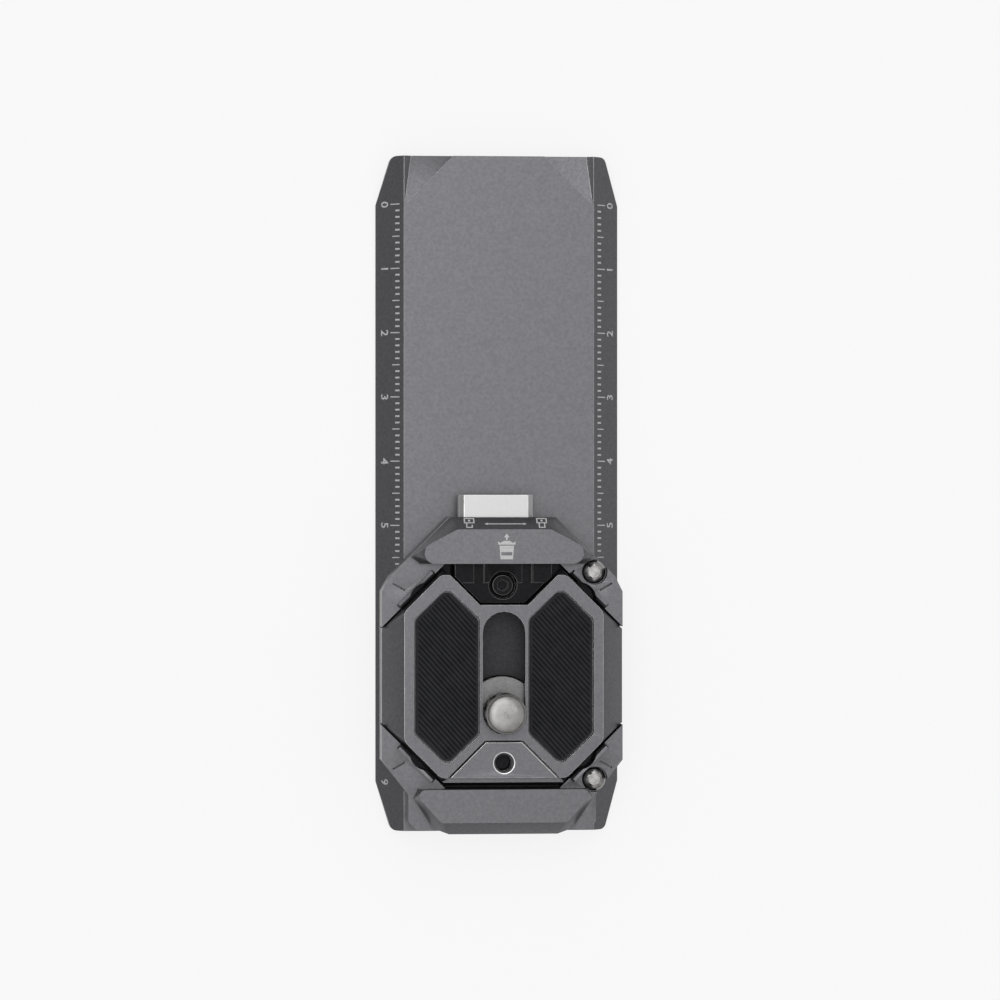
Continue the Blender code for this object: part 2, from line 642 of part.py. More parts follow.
def add_corner_lips(body):
    for side, end, word in ((1, 1, "front_right"), (-1, 1, "front_left"),
                            (1, -1, "rear_right"), (-1, -1, "rear_left")):
        across, along, middle = lip_frame(side, end)
        foot = [middle + along * t * LIP_LENGTH / 2 + across * w
                for t, w in ((-1, 0), (1, 0), (1, LIP_WIDTH), (-1, LIP_WIDTH))]
        crest = [middle + along * t * (LIP_LENGTH / 2 - FIT) + across * w
                 for t, w in ((-1, LIP_BEVEL), (1, LIP_BEVEL), (1, LIP_WIDTH), (-1, LIP_WIDTH))]
        level = CORNER_TOP + LIP_RISE
        sections = [([p.xy for p in foot], CORNER_TOP - LIP_ROOT),
                    ([p.xy for p in foot], level - LIP_BEVEL),
                    ([p.xy for p in crest], level)]
        boolean(body, hull("lip_" + word, sections, collection=CUTTERS), "UNION")


def cut_lip_reliefs(body):
    """A round scallop in the middle of each lip's inner face."""
    depth = LIP_RELIEF_RADIUS - math.sqrt(LIP_RELIEF_RADIUS ** 2 - (LIP_RELIEF_CHORD / 2) ** 2)
    for side, end, word in ((1, 1, "front_right"), (-1, 1, "front_left"),
                            (1, -1, "rear_right"), (-1, -1, "rear_left")):
        across, _, middle = lip_frame(side, end)
        centre = middle + across * (depth - LIP_RELIEF_RADIUS)
        cut_rod(body, "relief_" + word, LIP_RELIEF_RADIUS, FLOOR_TOP, RECEIVER_TOP,
                SEAT + centre, segments=ROUND_SEGMENTS)


def cut_side_slits(body):
    """A narrow slit across each corner block where it meets the low side."""
    for side, end, word in ((1, 1, "front_right"), (-1, 1, "front_left"),
                            (1, -1, "rear_right"), (-1, -1, "rear_left")):
        middle = Vector((side * (HALF_WIDTH - SLIT_FROM_SIDE), end * (BAR_FACE - SLIT_FROM_BAR), 0))
        run = Vector((side * math.cos(SLIT_SLOPE), end * math.sin(SLIT_SLOPE), 0))
        width = Vector((-run.y, run.x, 0)) * SIDE_SLIT_WIDTH / 2
        reach = run * SIDE_SLIT_LENGTH / 2
        outline = [tuple((middle + a * reach + b * width).xy)
                   for a, b in ((-1, -1), (1, -1), (1, 1), (-1, 1))]
        cut_prism(body, "slit_" + word, outline, CORNER_TOP - SIDE_SLIT_DEPTH, CORNER_TOP + GAP)


def cavity_outline():
    """Plan of the mechanism's pocket inside the front housing."""
    side = SLIDE_HALF_WIDTH + 2 * FIT
    rear = NARROW_Y - POCKET_REAR_OVERLAP
    wide = SPRING_OFFSET + POCKET_SPRING_SIDE
    return mirrored([(INNER_CUT - WALL_INSIDE, WALL_INSIDE), (wide, INNER_CUT - wide),
                     (wide, BAR_FACE + FRONT_WALL), (side, BAR_FACE + FRONT_WALL), (side, rear)])


def cover_outline(gap):
    """Plan of the sheet cover, grown by the gap for its recess."""
    half = cover_screw_x() + COVER_SCREW_HEAD_RADIUS + COVER_MARGIN + gap
    front = WALL_INSIDE + COVER_MARGIN + gap
    cut = OUTER_CUT - COVER_EDGE_WALL * math.sqrt(2) + gap
    rear = NARROW_Y - COVER_REAR_OVERLAP - gap
    return mirrored([(cut - front, front), (half, cut - half), (half, rear)])


def cut_corner_screw_holes(body):
    head_hole = CORNER_SCREW_HEAD_RADIUS + FIT
    shank_hole = CORNER_SCREW_SHANK_RADIUS + FIT
    head_floor = CORNER_TOP - CORNER_SCREW_HEAD_HEIGHT - 2 * GAP
    stepped = [(0, CORNER_TOP + GAP), (head_hole, CORNER_TOP + GAP), (head_hole, head_floor),
               (shank_hole, head_floor), (shank_hole, RECEIVER_BASE - GAP), (0, RECEIVER_BASE - GAP)]
    for name, spot in corner_screw_spots():
        cut_turned(body, name, stepped, spot, ROUND_SEGMENTS)


def make_receiver():
    body = extruded("receiver_body", receiver_outline(), RECEIVER_BASE, CORNER_TOP)
    boolean(body, hull("front_bar", front_bar_sections(), collection=CUTTERS), "UNION")
    boolean(body, hull("rear_bar", rear_bar_sections(), collection=CUTTERS), "UNION")
    add_corner_lips(body)
    seat = cut_octagon(HALF_WIDTH + CUT_PAST, BAR_FACE, SEAT_CUT)
    cut_prism(body, "seat", seat, FLOOR_TOP, RECEIVER_TOP + GAP)
    cut_corner_screw_holes(body)
    cut_lip_reliefs(body)
    cut_side_slits(body)
    cut_prism(body, "cover_recess", cover_outline(GAP), RECEIVER_BASE - GAP, COVER_TOP + FIT / 2)
    cut_prism(body, "cavity", cavity_outline(), RECEIVER_BASE, ROOF_UNDERSIDE)
    mouth = SLIDE_HALF_WIDTH + 2 * FIT
    cut_prism(body, "latch_mouth", box_outline(-mouth, mouth, BAR_FACE - CUT_PAST,
                                               BAR_FACE + FRONT_WALL + GAP),
              RECEIVER_BASE, ROOF_UNDERSIDE)
    window = BUTTON_WIDTH / 2 + LOCK_TRAVEL / 2 + FIT
    cut_prism(body, "button_window", box_outline(-window, window, BUTTON_BASE - GAP, BUTTON_TOP + GAP),
              WALL_INSIDE - GAP, FRONT_FACE + GAP, axis="Y")
    half_well = DETENT_WELL_WIDTH / 2
    well = box_outline(DETENT_X - half_well, DETENT_X + half_well,
                       SHUTTLE_REAR - DETENT_WELL_WALL, WALL_INSIDE + GAP)
    add_prism(body, "detent_well", well, COVER_TOP + FIT, BUTTON_BASE - FIT)
    cut_rod(body, "detent_hole", BALL_RADIUS + FIT, RECEIVER_BASE, BUTTON_BASE, detent_spot())
    for name, spot in rail_screw_spots():
        cut_rod(body, name, RAIL_SCREW_SHANK_RADIUS + FIT, RECEIVER_BASE - GAP,
                CORNER_TOP - SCREW_TIP_DEPTH + GAP, spot)
    for name, spot in cover_screw_spots():
        cut_rod(body, name, COVER_SCREW_SHANK_RADIUS + FIT, RECEIVER_BASE, FLOOR_TOP + GAP, spot)
    return body


# ---------------------------------------------------------------- mechanism

def detent_spot():
    return at_seat(DETENT_X, (SHUTTLE_REAR + SHUTTLE_FRONT) / 2)


def make_cover():
    """Sheet cover under the mechanism, with the rocker's lugs and the springs' tabs."""
    cover = extruded("mechanism_cover", cover_outline(0), RECEIVER_BASE, COVER_TOP)
    for side, word in ((1, "right"), (-1, "left")):
        inner = ROCKER_WIDTH / 2 + FIT
        lug = box_outline(PIN_Y - ROCKER_HUB / 2, PIN_Y + ROCKER_HUB / 2, COVER_TOP - GAP,
                          PIN_LEVEL + ROCKER_HUB / 2)
        ends = sorted((side * inner, side * (inner + LUG_THICKNESS)))
        add_prism(cover, "lug_" + word, lug, *ends, axis="X")
        tab = box_outline(side * SPRING_OFFSET - SPRING_TAB_WIDTH / 2,
                          side * SPRING_OFFSET + SPRING_TAB_WIDTH / 2,
                          tab_rear(), tab_rear() + SPRING_TAB_THICKNESS)
        add_prism(cover, "spring_tab_" + word, tab, COVER_TOP - GAP, SLIDE_TOP - FIT)
    reach = ROCKER_WIDTH / 2 + LUG_THICKNESS + 2 * GAP
    cut_rod(cover, "pin_hole", PIN_RADIUS + FIT, -reach, reach,
            at_seat(0, PIN_Y, PIN_LEVEL), axis="X")
    for name, spot in cover_screw_spots():
        profile = countersink_profile(COVER_SCREW_HEAD_RADIUS + FIT, COVER_SCREW_SHANK_RADIUS + FIT,
                                      COVER_TOP + GAP, RECEIVER_BASE - GAP, COVER_SCREW_RIM + GAP)
        cut_turned(cover, name, profile, spot)
    return cover


def tab_rear():
    return LATCH_REAR + FIT


def make_button():
    """Button head with chamfered sides, and the stem that reaches the rocker."""
    half = BUTTON_WIDTH / 2
    outline = [(-half, BUTTON_BASE), (half, BUTTON_BASE), (half, BUTTON_TOP - BUTTON_CHAMFER),
               (half - BUTTON_CHAMFER, BUTTON_TOP), (BUTTON_CHAMFER - half, BUTTON_TOP),
               (-half, BUTTON_TOP - BUTTON_CHAMFER)]
    at = SEAT + Vector((BUTTON_X, 0, 0))
    head_rear = SHUTTLE_FRONT + PRESS_TRAVEL + FIT
    button = extruded("release_button", outline, head_rear, FRONT_FACE + BUTTON_PROJECTION, SILVER,
                      at, "Y")
    stem_low = STEM_LEVEL - STEM_HEIGHT / 2
    stem = box_outline(-STEM_WIDTH / 2, STEM_WIDTH / 2, stem_low, stem_low + STEM_HEIGHT)
    add_prism(button, "stem", stem, STEM_END, head_rear + GAP, at, "Y")
    for side, word in ((1, "right"), (-1, "left")):
        inner = STEM_WIDTH / 2 - 2 * FIT
        groove = box_outline(*sorted((side * inner, side * STEM_WIDTH)), STEM_LEVEL - STEM_HEIGHT,
                             STEM_LEVEL + STEM_HEIGHT)
        cut_prism(button, "groove_" + word, groove, CLIP_REAR - FIT / 2,
                  CLIP_REAR + CLIP_THICKNESS + FIT / 2, at, "Y")
    return button


def make_button_clip():
    """Spring-steel fork pushed over the stem's grooves from above."""
    inner = STEM_WIDTH / 2 - FIT
    outer = STEM_WIDTH / 2 + CLIP_LEG
    low = STEM_LEVEL - STEM_HEIGHT / 2
    bridge = STEM_LEVEL + STEM_HEIGHT / 2 + FIT
    outline = [(-outer, low), (-inner, low), (-inner, bridge), (inner, bridge), (inner, low),
               (outer, low), (outer, bridge + CLIP_BRIDGE), (-outer, bridge + CLIP_BRIDGE)]
    at = SEAT + Vector((BUTTON_X, 0, 0))
    return extruded("button_clip", outline, CLIP_REAR, CLIP_REAR + CLIP_THICKNESS, SPRING_STEEL,
                    at, "Y")


def make_lock_shuttle():
    at = SEAT + Vector((BUTTON_X, 0, 0))
    outline = box_outline(-SHUTTLE_HALF, SHUTTLE_HALF, SHUTTLE_BASE, ROOF_UNDERSIDE - GAP)
    shuttle = extruded("lock_shuttle", outline, SHUTTLE_REAR, SHUTTLE_FRONT, BLACK_STEEL, at, "Y")
    half = STEM_WIDTH / 2 + FIT
    window = box_outline(-half, half, STEM_LEVEL - STEM_HEIGHT / 2 - FIT,
                         STEM_LEVEL + STEM_HEIGHT / 2 + FIT)
    cut_prism(shuttle, "window", window, SHUTTLE_REAR - GAP, SHUTTLE_FRONT + GAP, at, "Y")
    return shuttle


def make_rocker():
    tip = ROCKER_THICKNESS / 2
    hub = ROCKER_HUB / 2
    reach = ROCKER_ARM + ROCKER_TIP
    upper = [(hub, hub * 0.6), (tip, hub * 1.2), (tip, reach), (-tip, reach), (-tip, hub * 1.2),
             (-hub, hub * 0.6)]
    outline = upper + [(-y, -z) for y, z in upper]
    rocker = extruded("rocker", outline, -ROCKER_WIDTH / 2, ROCKER_WIDTH / 2, BLACK_STEEL, ORIGIN, "X")
    cut_rod(rocker, "bore", PIN_RADIUS + FIT, -ROCKER_WIDTH, ROCKER_WIDTH, ORIGIN, "X")
    lean = Matrix.Rotation(-ROCKER_SWING, 4, "X")
    place = Matrix.Translation(at_seat(0, PIN_Y, PIN_LEVEL)) @ lean
    rocker.matrix_world = place @ rocker.matrix_world
    tool = bpy.data.objects["rocker_bore"]
    tool.matrix_world = place @ tool.matrix_world
    return rocker


def make_rocker_pin():
    reach = ROCKER_WIDTH / 2 + FIT + LUG_THICKNESS + PIN_OVERHANG
    return rod("rocker_pin", PIN_RADIUS, -reach, reach, at_seat(0, PIN_Y, PIN_LEVEL), STAINLESS, "X")


def make_latch_slide():
    """Flat slide under the latch, with windows for the rocker's lugs and the springs."""
    nose_y = PIN_Y - (PIN_LEVEL - SLIDE_TOP) * math.sin(ROCKER_SWING) + ROCKER_HUB / 2
    front = nose_y + SLIDE_NOSE_LENGTH
    wide_front = tab_rear() + SLIDE_SHOULDER
    narrow = ROCKER_WIDTH / 2 + LUG_THICKNESS + SLIDE_SIDE_BAR
    rear = NARROW_Y + SLIDE_REAR_INSET
    outline = mirrored([(narrow, front), (narrow, wide_front), (SLIDE_HALF_WIDTH, wide_front),
                        (SLIDE_HALF_WIDTH, rear + SLIDE_CORNER_CUT),
                        (SLIDE_HALF_WIDTH - 2 * SLIDE_CORNER_CUT, rear)])
    slide = extruded("latch_slide", outline, SLIDE_BASE, SLIDE_TOP, BLACK_STEEL)
    lug_half = ROCKER_WIDTH / 2 + FIT + LUG_THICKNESS + FIT
    lug_front = PIN_Y + ROCKER_HUB / 2 + FIT
    lug_rear = PIN_Y - ROCKER_HUB / 2 - PRESS_TRAVEL - 2 * FIT
    nose = ROCKER_WIDTH / 2 - FIT
    window = mirrored([(nose, nose_y), (nose, lug_front), (lug_half, lug_front), (lug_half, lug_rear)])
    cut_prism(slide, "rocker_window", window, SLIDE_BASE - GAP, SLIDE_TOP + GAP)
    for side, word in ((1, "right"), (-1, "left")):
        half = SPRING_TAB_WIDTH / 2 + GAP
        middle = side * SPRING_OFFSET
        slot = box_outline(middle - half, middle + half, tab_rear() - SPRING_LENGTH - FIT,
                           tab_rear() + SPRING_TAB_THICKNESS + FIT)
        cut_prism(slide, "spring_window_" + word, slot, SLIDE_BASE - GAP, SLIDE_TOP + GAP)
    cut_rod(slide, "screw_hole", LATCH_SCREW_SHANK_RADIUS + FIT, SLIDE_BASE - GAP,
            SLIDE_TOP + GAP, latch_screw_spot())
    return slide


def latch_screw_spot():
    return at_seat(0, NARROW_Y + LATCH_SCREW_DEPTH)


def notch_half_width(y):
    """Half-width of the plate's front notch; its sides open forward at 45 degrees."""
    return NOTCH_NARROW_WIDTH / 2 + (y - NARROW_Y)


def make_latch_wedge():
    """The latch that fills the plate's notch: a low tongue and three bosses behind it."""
    rear = LATCH_REAR
    tongue = NARROW_Y + GAP
    side = notch_half_width(HALF_LENGTH) - WEDGE_SIDE_INSET
    margin = GAP * 2
    outline = mirrored([(side, rear), (side, HALF_LENGTH - WEDGE_SHOULDER),
                        (notch_half_width(tongue) - margin, tongue)])
    wedge = extruded("latch_wedge", outline, WEDGE_BASE, WEDGE_TOP, BLACK_STEEL)
    step_y = NARROW_Y + WEDGE_BOSS_DEPTH
    cut_prism(wedge, "tongue_top", box_outline(-HALF_WIDTH, HALF_WIDTH, tongue - CUT_PAST, step_y),
              WEDGE_TOP - WEDGE_STEP, WEDGE_TOP + GAP)
    for side_sign, word in ((1, "right"), (-1, "left")):
        inner = side_sign * WEDGE_BOSS_HALF
        outer = side_sign * (WEDGE_BOSS_HALF + WEDGE_BOSS_GAP)
        gap = box_outline(*sorted((inner, outer)), step_y - GAP, rear + GAP)
        cut_prism(wedge, "step_" + word, gap, WEDGE_TOP - WEDGE_STEP, WEDGE_TOP + GAP)
    spot = latch_screw_spot()
    cut_rod(wedge, "counterbore", LATCH_SCREW_HEAD_RADIUS + 2 * FIT, WEDGE_BASE + LATCH_SCREW_SEAT,
            WEDGE_TOP + GAP, spot, segments=ROUND_SEGMENTS)
    cut_rod(wedge, "screw_hole", LATCH_SCREW_SHANK_RADIUS + FIT, WEDGE_BASE - GAP, WEDGE_TOP, spot)
    return wedge


def make_latch_screw():
    top = WEDGE_TOP - WEDGE_STEP - FIT
    seat = WEDGE_BASE + LATCH_SCREW_SEAT + FIT
    bottom = SLIDE_BASE + FIT
    profile = [(0, top), (LATCH_SCREW_HEAD_RADIUS - HEAD_EDGE, top),
               (LATCH_SCREW_HEAD_RADIUS, top - HEAD_EDGE), (LATCH_SCREW_HEAD_RADIUS, seat),
               (LATCH_SCREW_SHANK_RADIUS, seat), (LATCH_SCREW_SHANK_RADIUS, bottom), (0, bottom)]
    screw = turned("latch_screw", profile, latch_screw_spot(), BLACK_STEEL)
    hex_socket(screw, LATCH_SOCKET_RADIUS, top - LATCH_SOCKET_RADIUS, top + GAP, latch_screw_spot())
    return screw


def make_spring(name, start, direction, length, turns, radius, wire):
    """A compression coil from start along a direction."""
    curve = bpy.data.curves.new(name, "CURVE")
    curve.dimensions = "3D"
    curve.bevel_depth = wire
    curve.bevel_resolution = 1
    curve.use_fill_caps = True
    per_turn = 8
    count = turns * per_turn + 1
    spline = curve.splines.new("POLY")
    spline.points.add(count - 1)
    turn_axes = {"Y": (Vector((1, 0, 0)), Vector((0, 0, 1))),
                 "Z": (Vector((1, 0, 0)), Vector((0, 1, 0)))}
    first, second = turn_axes[direction]
    ahead = Vector((0, 1, 0)) if direction == "Y" else Vector((0, 0, 1))
    free = length - 2 * wire
    for i, point in enumerate(spline.points):
        angle = math.tau * i / per_turn
        place = (ahead * (wire + free * i / (count - 1)) + first * math.cos(angle) * radius
                 + second * math.sin(angle) * radius)
        point.co = (*place, 1)
    guide = bpy.data.objects.new(name + "_path", curve)
    PARTS.objects.link(guide)
    guide.location = start
    return curve_to_part(guide, name, SPRING_STEEL)


def make_springs():
    level = SLIDE_BASE + SLIDE_THICKNESS / 2
    for side, word in ((1, "right"), (-1, "left")):
        start = at_seat(side * SPRING_OFFSET, tab_rear() - SPRING_LENGTH + FIT, level)
        make_spring("latch_spring_" + word, start, "Y", SPRING_LENGTH - 2 * FIT, 7,
                    SPRING_RADIUS, SPRING_WIRE_RADIUS)
    ball_low = SHUTTLE_BASE - FIT - 2 * BALL_RADIUS
    spot = detent_spot()
    base = COVER_TOP + FIT
    make_spring("lock_detent_spring", spot + Vector((0, 0, base)), "Z", ball_low - base - FIT, 2,
                BALL_RADIUS - DETENT_WIRE_RADIUS, DETENT_WIRE_RADIUS)
    shape = bmesh.new()
    bmesh.ops.create_uvsphere(shape, u_segments=12, v_segments=8, radius=BALL_RADIUS)
    mesh = bpy.data.meshes.new("lock_detent_ball")
    shape.to_mesh(mesh)
    shape.free()
    ball = add_part("lock_detent_ball", mesh, STAINLESS)
    ball.location = spot + Vector((0, 0, ball_low + BALL_RADIUS))


# ---------------------------------------------------------------- camera plate

def pad_outline(grow=0.0):
    """Right-hand pad: a long hexagon with pointed front and rear."""
    inner = PAD_INNER - grow
    outer = PAD_INNER + PAD_WIDTH + grow
    middle = (inner + outer) / 2
    tip = HALF_LENGTH - PLATE_END_DRAFT - PAD_RIM + grow
    shoulder = tip - PAD_SHOULDER - grow * math.tan(math.pi / 8)
    half = [(outer, shoulder), (outer, -shoulder), (middle, -tip), (inner, -shoulder),
            (inner, shoulder), (middle, tip)]
    return rounded(half, PAD_CORNER_RADIUS)


def make_plate():
    """Octagonal dovetail plate: wide land below, 45 degree flanks, narrower rim above."""
    lower = cut_octagon(HALF_WIDTH, HALF_LENGTH, PLATE_CUT)
    rim_cut = PLATE_CUT - PLATE_CORNER_DRAFT * math.sqrt(2)
    rim = cut_octagon(HALF_WIDTH - RIM_RUN, HALF_LENGTH - PLATE_END_DRAFT, rim_cut)
    sections = [(lower, PLATE_BASE), (lower, PLATE_BASE + PLATE_LAND),
                (rounded(rim, PLATE_CORNER_RADIUS), PLATE_TOP)]
    plate = hull("camera_plate", sections)
    far = HALF_LENGTH + CUT_PAST
    notch = mirrored([(notch_half_width(far), far), (NOTCH_NARROW_WIDTH / 2, NARROW_Y)])
    cut_prism(plate, "latch_notch", notch, PLATE_BASE - GAP, PLATE_TOP + GAP)
    cut_prism(plate, "insert_notch", insert_outline(GAP), HEAD_SLOT_TOP + GAP, PLATE_TOP + GAP)
    cut_prism(plate, "head_slot", oblong(HEAD_POCKET_RADIUS, SCREW_Y, HEAD_POCKET_FRONT),
              PLATE_BASE - GAP, HEAD_SLOT_TOP)
    cut_prism(plate, "screw_slot", oblong(SLOT_HALF_WIDTH, SCREW_Y, SLOT_FRONT),
              PLATE_BASE, PLATE_TOP + GAP)
    cut_rod(plate, "pin_hole", INSERT_HOLE_RADIUS, PLATE_BASE - GAP, PLATE_TOP, pin_hole_spot(),
            segments=ROUND_SEGMENTS)
    recess = pad_outline(GAP)
    for side, word in ((1, "right"), (-1, "left")):
        cut_prism(plate, "pad_recess_" + word, [(side * x, y) for x, y in recess],
                  PLATE_TOP - PAD_RECESS, PLATE_TOP + GAP)
    return plate


def insert_outline(grow=0.0):
    """Plan of the block that fills the plate's rear notch."""
    rear = -(HALF_LENGTH - PLATE_END_DRAFT)
    front = rear + INSERT_LENGTH
    half = INSERT_FRONT_WIDTH / 2 + grow * math.tan(math.pi / 8)
    far = rear - (CUT_PAST if grow else 0)
    return mirrored([(half, front + grow), (half + front + grow - far, far)])


def make_insert():
    block = extruded("rear_key_block", insert_outline(), INSERT_BASE, PLATE_TOP)
    profile = [(0, PLATE_TOP + GAP), (INSERT_HOLE_RADIUS + INSERT_HOLE_BEVEL, PLATE_TOP + GAP),
               (INSERT_HOLE_RADIUS, PLATE_TOP - GAP), (INSERT_HOLE_RADIUS, INSERT_BASE - GAP),
               (0, INSERT_BASE - GAP)]
    cut_turned(block, "pin_hole", profile, pin_hole_spot(), ROUND_SEGMENTS)
    return block


def pin_hole_spot():
    return at_seat(0, -(HALF_LENGTH - PLATE_END_DRAFT) + INSERT_HOLE_Y)


def make_pads():
    for side, word in ((1, "right"), (-1, "left")):
        outline = [(side * x, y) for x, y in pad_outline()]
        extruded("pad_" + word, outline, PLATE_TOP - PAD_RECESS + GAP, PLATE_TOP + PAD_PROUD, RUBBER)


def screw_levels():
    """Levels of the camera screw's head base, head top, retainer base and tip."""
    head_base = PLATE_BASE + GAP
    head_top = head_base + SCREW_HEAD_HEIGHT
    return head_base, head_top, head_top + FIT, PLATE_TOP + PAD_PROUD + SCREW_PROJECTION


def make_camera_screw():
    head_base, head_top, _, tip = screw_levels()
    thread = SCREW_THREAD_RADIUS
    neck = thread - SCREW_NECK_DEPTH
    profile = [(0, tip + SCREW_TIP_CROWN), (neck, tip), (thread, tip - SCREW_NECK_DEPTH),
               (thread, head_top + SCREW_NECK_LENGTH + GAP), (neck, head_top + SCREW_NECK_LENGTH),
               (neck, head_top), (SCREW_HEAD_RADIUS - HEAD_EDGE, head_top),
               (SCREW_HEAD_RADIUS, head_top - HEAD_EDGE), (SCREW_HEAD_RADIUS, head_base),
               (0, head_base)]
    spot = at_seat(0, SCREW_Y)
    screw = turned("camera_screw", profile, spot, STAINLESS)
    slot = box_outline(-SCREW_HEAD_RADIUS * 2, SCREW_HEAD_RADIUS * 2,
                       SCREW_Y - SCREW_SLOT_WIDTH / 2, SCREW_Y + SCREW_SLOT_WIDTH / 2)
    cut_prism(screw, "coin_slot", slot, head_base - GAP, head_base + SCREW_SLOT_DEPTH)
    return screw


def make_retainer():
    """Washer that keeps the screw in the plate, drawn as a ring round its neck."""
    _, _, base, _ = screw_levels()
    outer = SCREW_HEAD_RADIUS - FIT
    inner = SCREW_THREAD_RADIUS - SCREW_NECK_DEPTH + FIT
    spot = at_seat(0, SCREW_Y)
    ring = rod("screw_retainer", outer, base, base + RETAINER_THICKNESS, spot, SPRING_STEEL,
               segments=ROUND_SEGMENTS)
    cut_rod(ring, "bore", inner, base - GAP, base + RETAINER_THICKNESS + GAP, spot,
            segments=ROUND_SEGMENTS)
    return ring


# ---------------------------------------------------------------- joints

def add_axis(name, spot, pieces, parent=None):
    """An empty on a joint's axis that carries the pieces that move with it."""
    empty = bpy.data.objects.new(name, None)
    PARTS.objects.link(empty)
    empty.location = spot
    empty.empty_display_size = AXIS_SIZE
    bpy.context.view_layer.update()
    if parent:
        empty.parent = parent
        empty.matrix_parent_inverse = parent.matrix_world.inverted()
    for piece in pieces:
        obj = bpy.data.objects[piece]
        obj.parent = empty
        obj.matrix_parent_inverse = empty.matrix_world.inverted()
    return empty


def build():
    make_rail()
    make_rail_screws()
    make_corner_screws()
    make_receiver()
    make_cover()
    make_cover_screws()
    make_button()
    make_button_clip()
    make_lock_shuttle()
    make_rocker()
    make_rocker_pin()
    make_latch_slide()
    make_latch_wedge()
    make_latch_screw()
    make_springs()
    make_plate()
    make_insert()
    make_pads()
    make_camera_screw()
    make_retainer()
    lock = add_axis("lock_slide_axis", at_seat(BUTTON_X, SHUTTLE_REAR, STEM_LEVEL), ["lock_shuttle"])
    add_axis("press_axis", at_seat(BUTTON_X, STEM_END, STEM_LEVEL),
             ["release_button", "button_clip"], lock)
    add_axis("rocker_axis", at_seat(0, PIN_Y, PIN_LEVEL), ["rocker"])
    add_axis("latch_slide_axis", latch_screw_spot(), ["latch_slide", "latch_wedge", "latch_screw"])
    lift = add_axis("plate_lift_axis", at_seat(0, 0, PLATE_BASE),
                    ["camera_plate", "rear_key_block", "pad_left", "pad_right"])
    run = add_axis("screw_slide_axis", at_seat(0, SCREW_Y, PLATE_BASE), ["screw_retainer"], lift)
    add_axis("camera_screw_axis", at_seat(0, SCREW_Y, PLATE_BASE), ["camera_screw"], run)


build()
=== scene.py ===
"""The looks of a dovetail slide rail with a quick-release plate, built round its CAD frame.

The frame's own axes are kept: +Z up, +Y along the rail to its free end. Lengths are in metres, and
in millimetres where a comment says so.
"""

import json
import math

import bmesh
import bpy
from mathutils import Matrix, Vector


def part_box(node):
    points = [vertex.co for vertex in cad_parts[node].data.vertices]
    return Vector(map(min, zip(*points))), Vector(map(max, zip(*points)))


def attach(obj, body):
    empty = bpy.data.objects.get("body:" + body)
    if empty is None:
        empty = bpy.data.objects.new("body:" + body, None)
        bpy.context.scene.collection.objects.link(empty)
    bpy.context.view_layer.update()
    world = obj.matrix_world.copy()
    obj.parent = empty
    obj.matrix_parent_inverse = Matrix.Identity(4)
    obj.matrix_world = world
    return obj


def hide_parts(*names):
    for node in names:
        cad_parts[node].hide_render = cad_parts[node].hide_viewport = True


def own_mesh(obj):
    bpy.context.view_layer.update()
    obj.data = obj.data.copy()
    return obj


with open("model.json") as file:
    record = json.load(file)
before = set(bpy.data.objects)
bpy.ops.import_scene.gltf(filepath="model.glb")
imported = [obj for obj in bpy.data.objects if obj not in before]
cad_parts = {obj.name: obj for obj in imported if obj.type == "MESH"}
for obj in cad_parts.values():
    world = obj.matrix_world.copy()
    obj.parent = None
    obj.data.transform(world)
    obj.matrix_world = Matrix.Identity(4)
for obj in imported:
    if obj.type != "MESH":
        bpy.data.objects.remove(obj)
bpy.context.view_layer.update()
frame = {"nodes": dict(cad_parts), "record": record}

MM = 0.001
BODY_OF = {node: body for body, nodes in frame["record"]["behaviour"]["bodies"].items()
           for node in nodes}
SLOT_OF = {row["node"]: row["material_slot"] for row in frame["record"]["subparts"]}

# Meshes taken over from the CAD frame, and their broken edges
MERGE_DISTANCE = 0.0005 * MM
FLAT_ANGLE = math.radians(0.5)
SMOOTH_ANGLE = math.radians(35)
RAIL_SMOOTH_ANGLE = math.radians(15)    # the banks of the rail's relieved corners are gentle
EDGE_ANGLE = math.radians(28)
EDGE_SEGMENTS = 2
EDGE_WIDTH = {"rail": 0.18 * MM, "receiver_body": 0.16 * MM, "camera_plate": 0.16 * MM,
              "rear_key_block": 0.1 * MM, "release_button": 0.32 * MM, "latch_wedge": 0.16 * MM}
SMALL_EDGE = 0.05 * MM
FACES_UP = 0.9                          # least upward part of a level face's normal
SEAT_SEARCH = 0.5 * MM                  # how near the plate's underside the seat's floor lies

# The two shapes that the marks stand on
RAIL_LAND = 0.85 * MM                   # upright edge under the rail's flank
BAR_CHAMFER = 1.85 * MM                 # height and depth of the front bar's slope

# Scale on the rail's flanks, in millimetres across the plan
SLOPE_LENGTH = math.sqrt(2)             # along the flank for each millimetre across the plan
SCALE_ZERO = 45.0
SCALE_LAST = 90
TICK_START = 0.62
TICK_LENGTHS = {10: 1.32, 5: 1.05, 1: 0.62}
TICK_WIDTH = 0.17
SHORT_TICK_WIDTH = 0.27
DIGIT_CENTRE = 2.8
DIGIT_HEIGHT = 1.5
DIGIT_WEIGHT = 0.018
DIGIT_CURVE_STEPS = 3
DIGIT_MERGE = 0.001                     # as a share of the digit's height
MARK_LIFT = 0.012
MARK_THICKNESS = 0.03

# Symbols on the front bar, in millimetres across and ahead
OPEN_LOCK_AT = -5.35
SHUT_LOCK_AT = 5.85
SLIDE_ARROW = (-3.0, 3.5, -0.15)
CAMERA_SYMBOL_AT = (0.35, -2.7)

# Springs
COIL_STEPS = 24
COIL_WIRE_STEPS = 2
COIL_CLOSING = 0.4                      # how much closer together the end turns lie
LATCH_SPRING_TURNS = 7
LATCH_SPRING_WIRE = 0.12 * MM
DETENT_TURNS = 2
DETENT_WIRE = 0.09 * MM

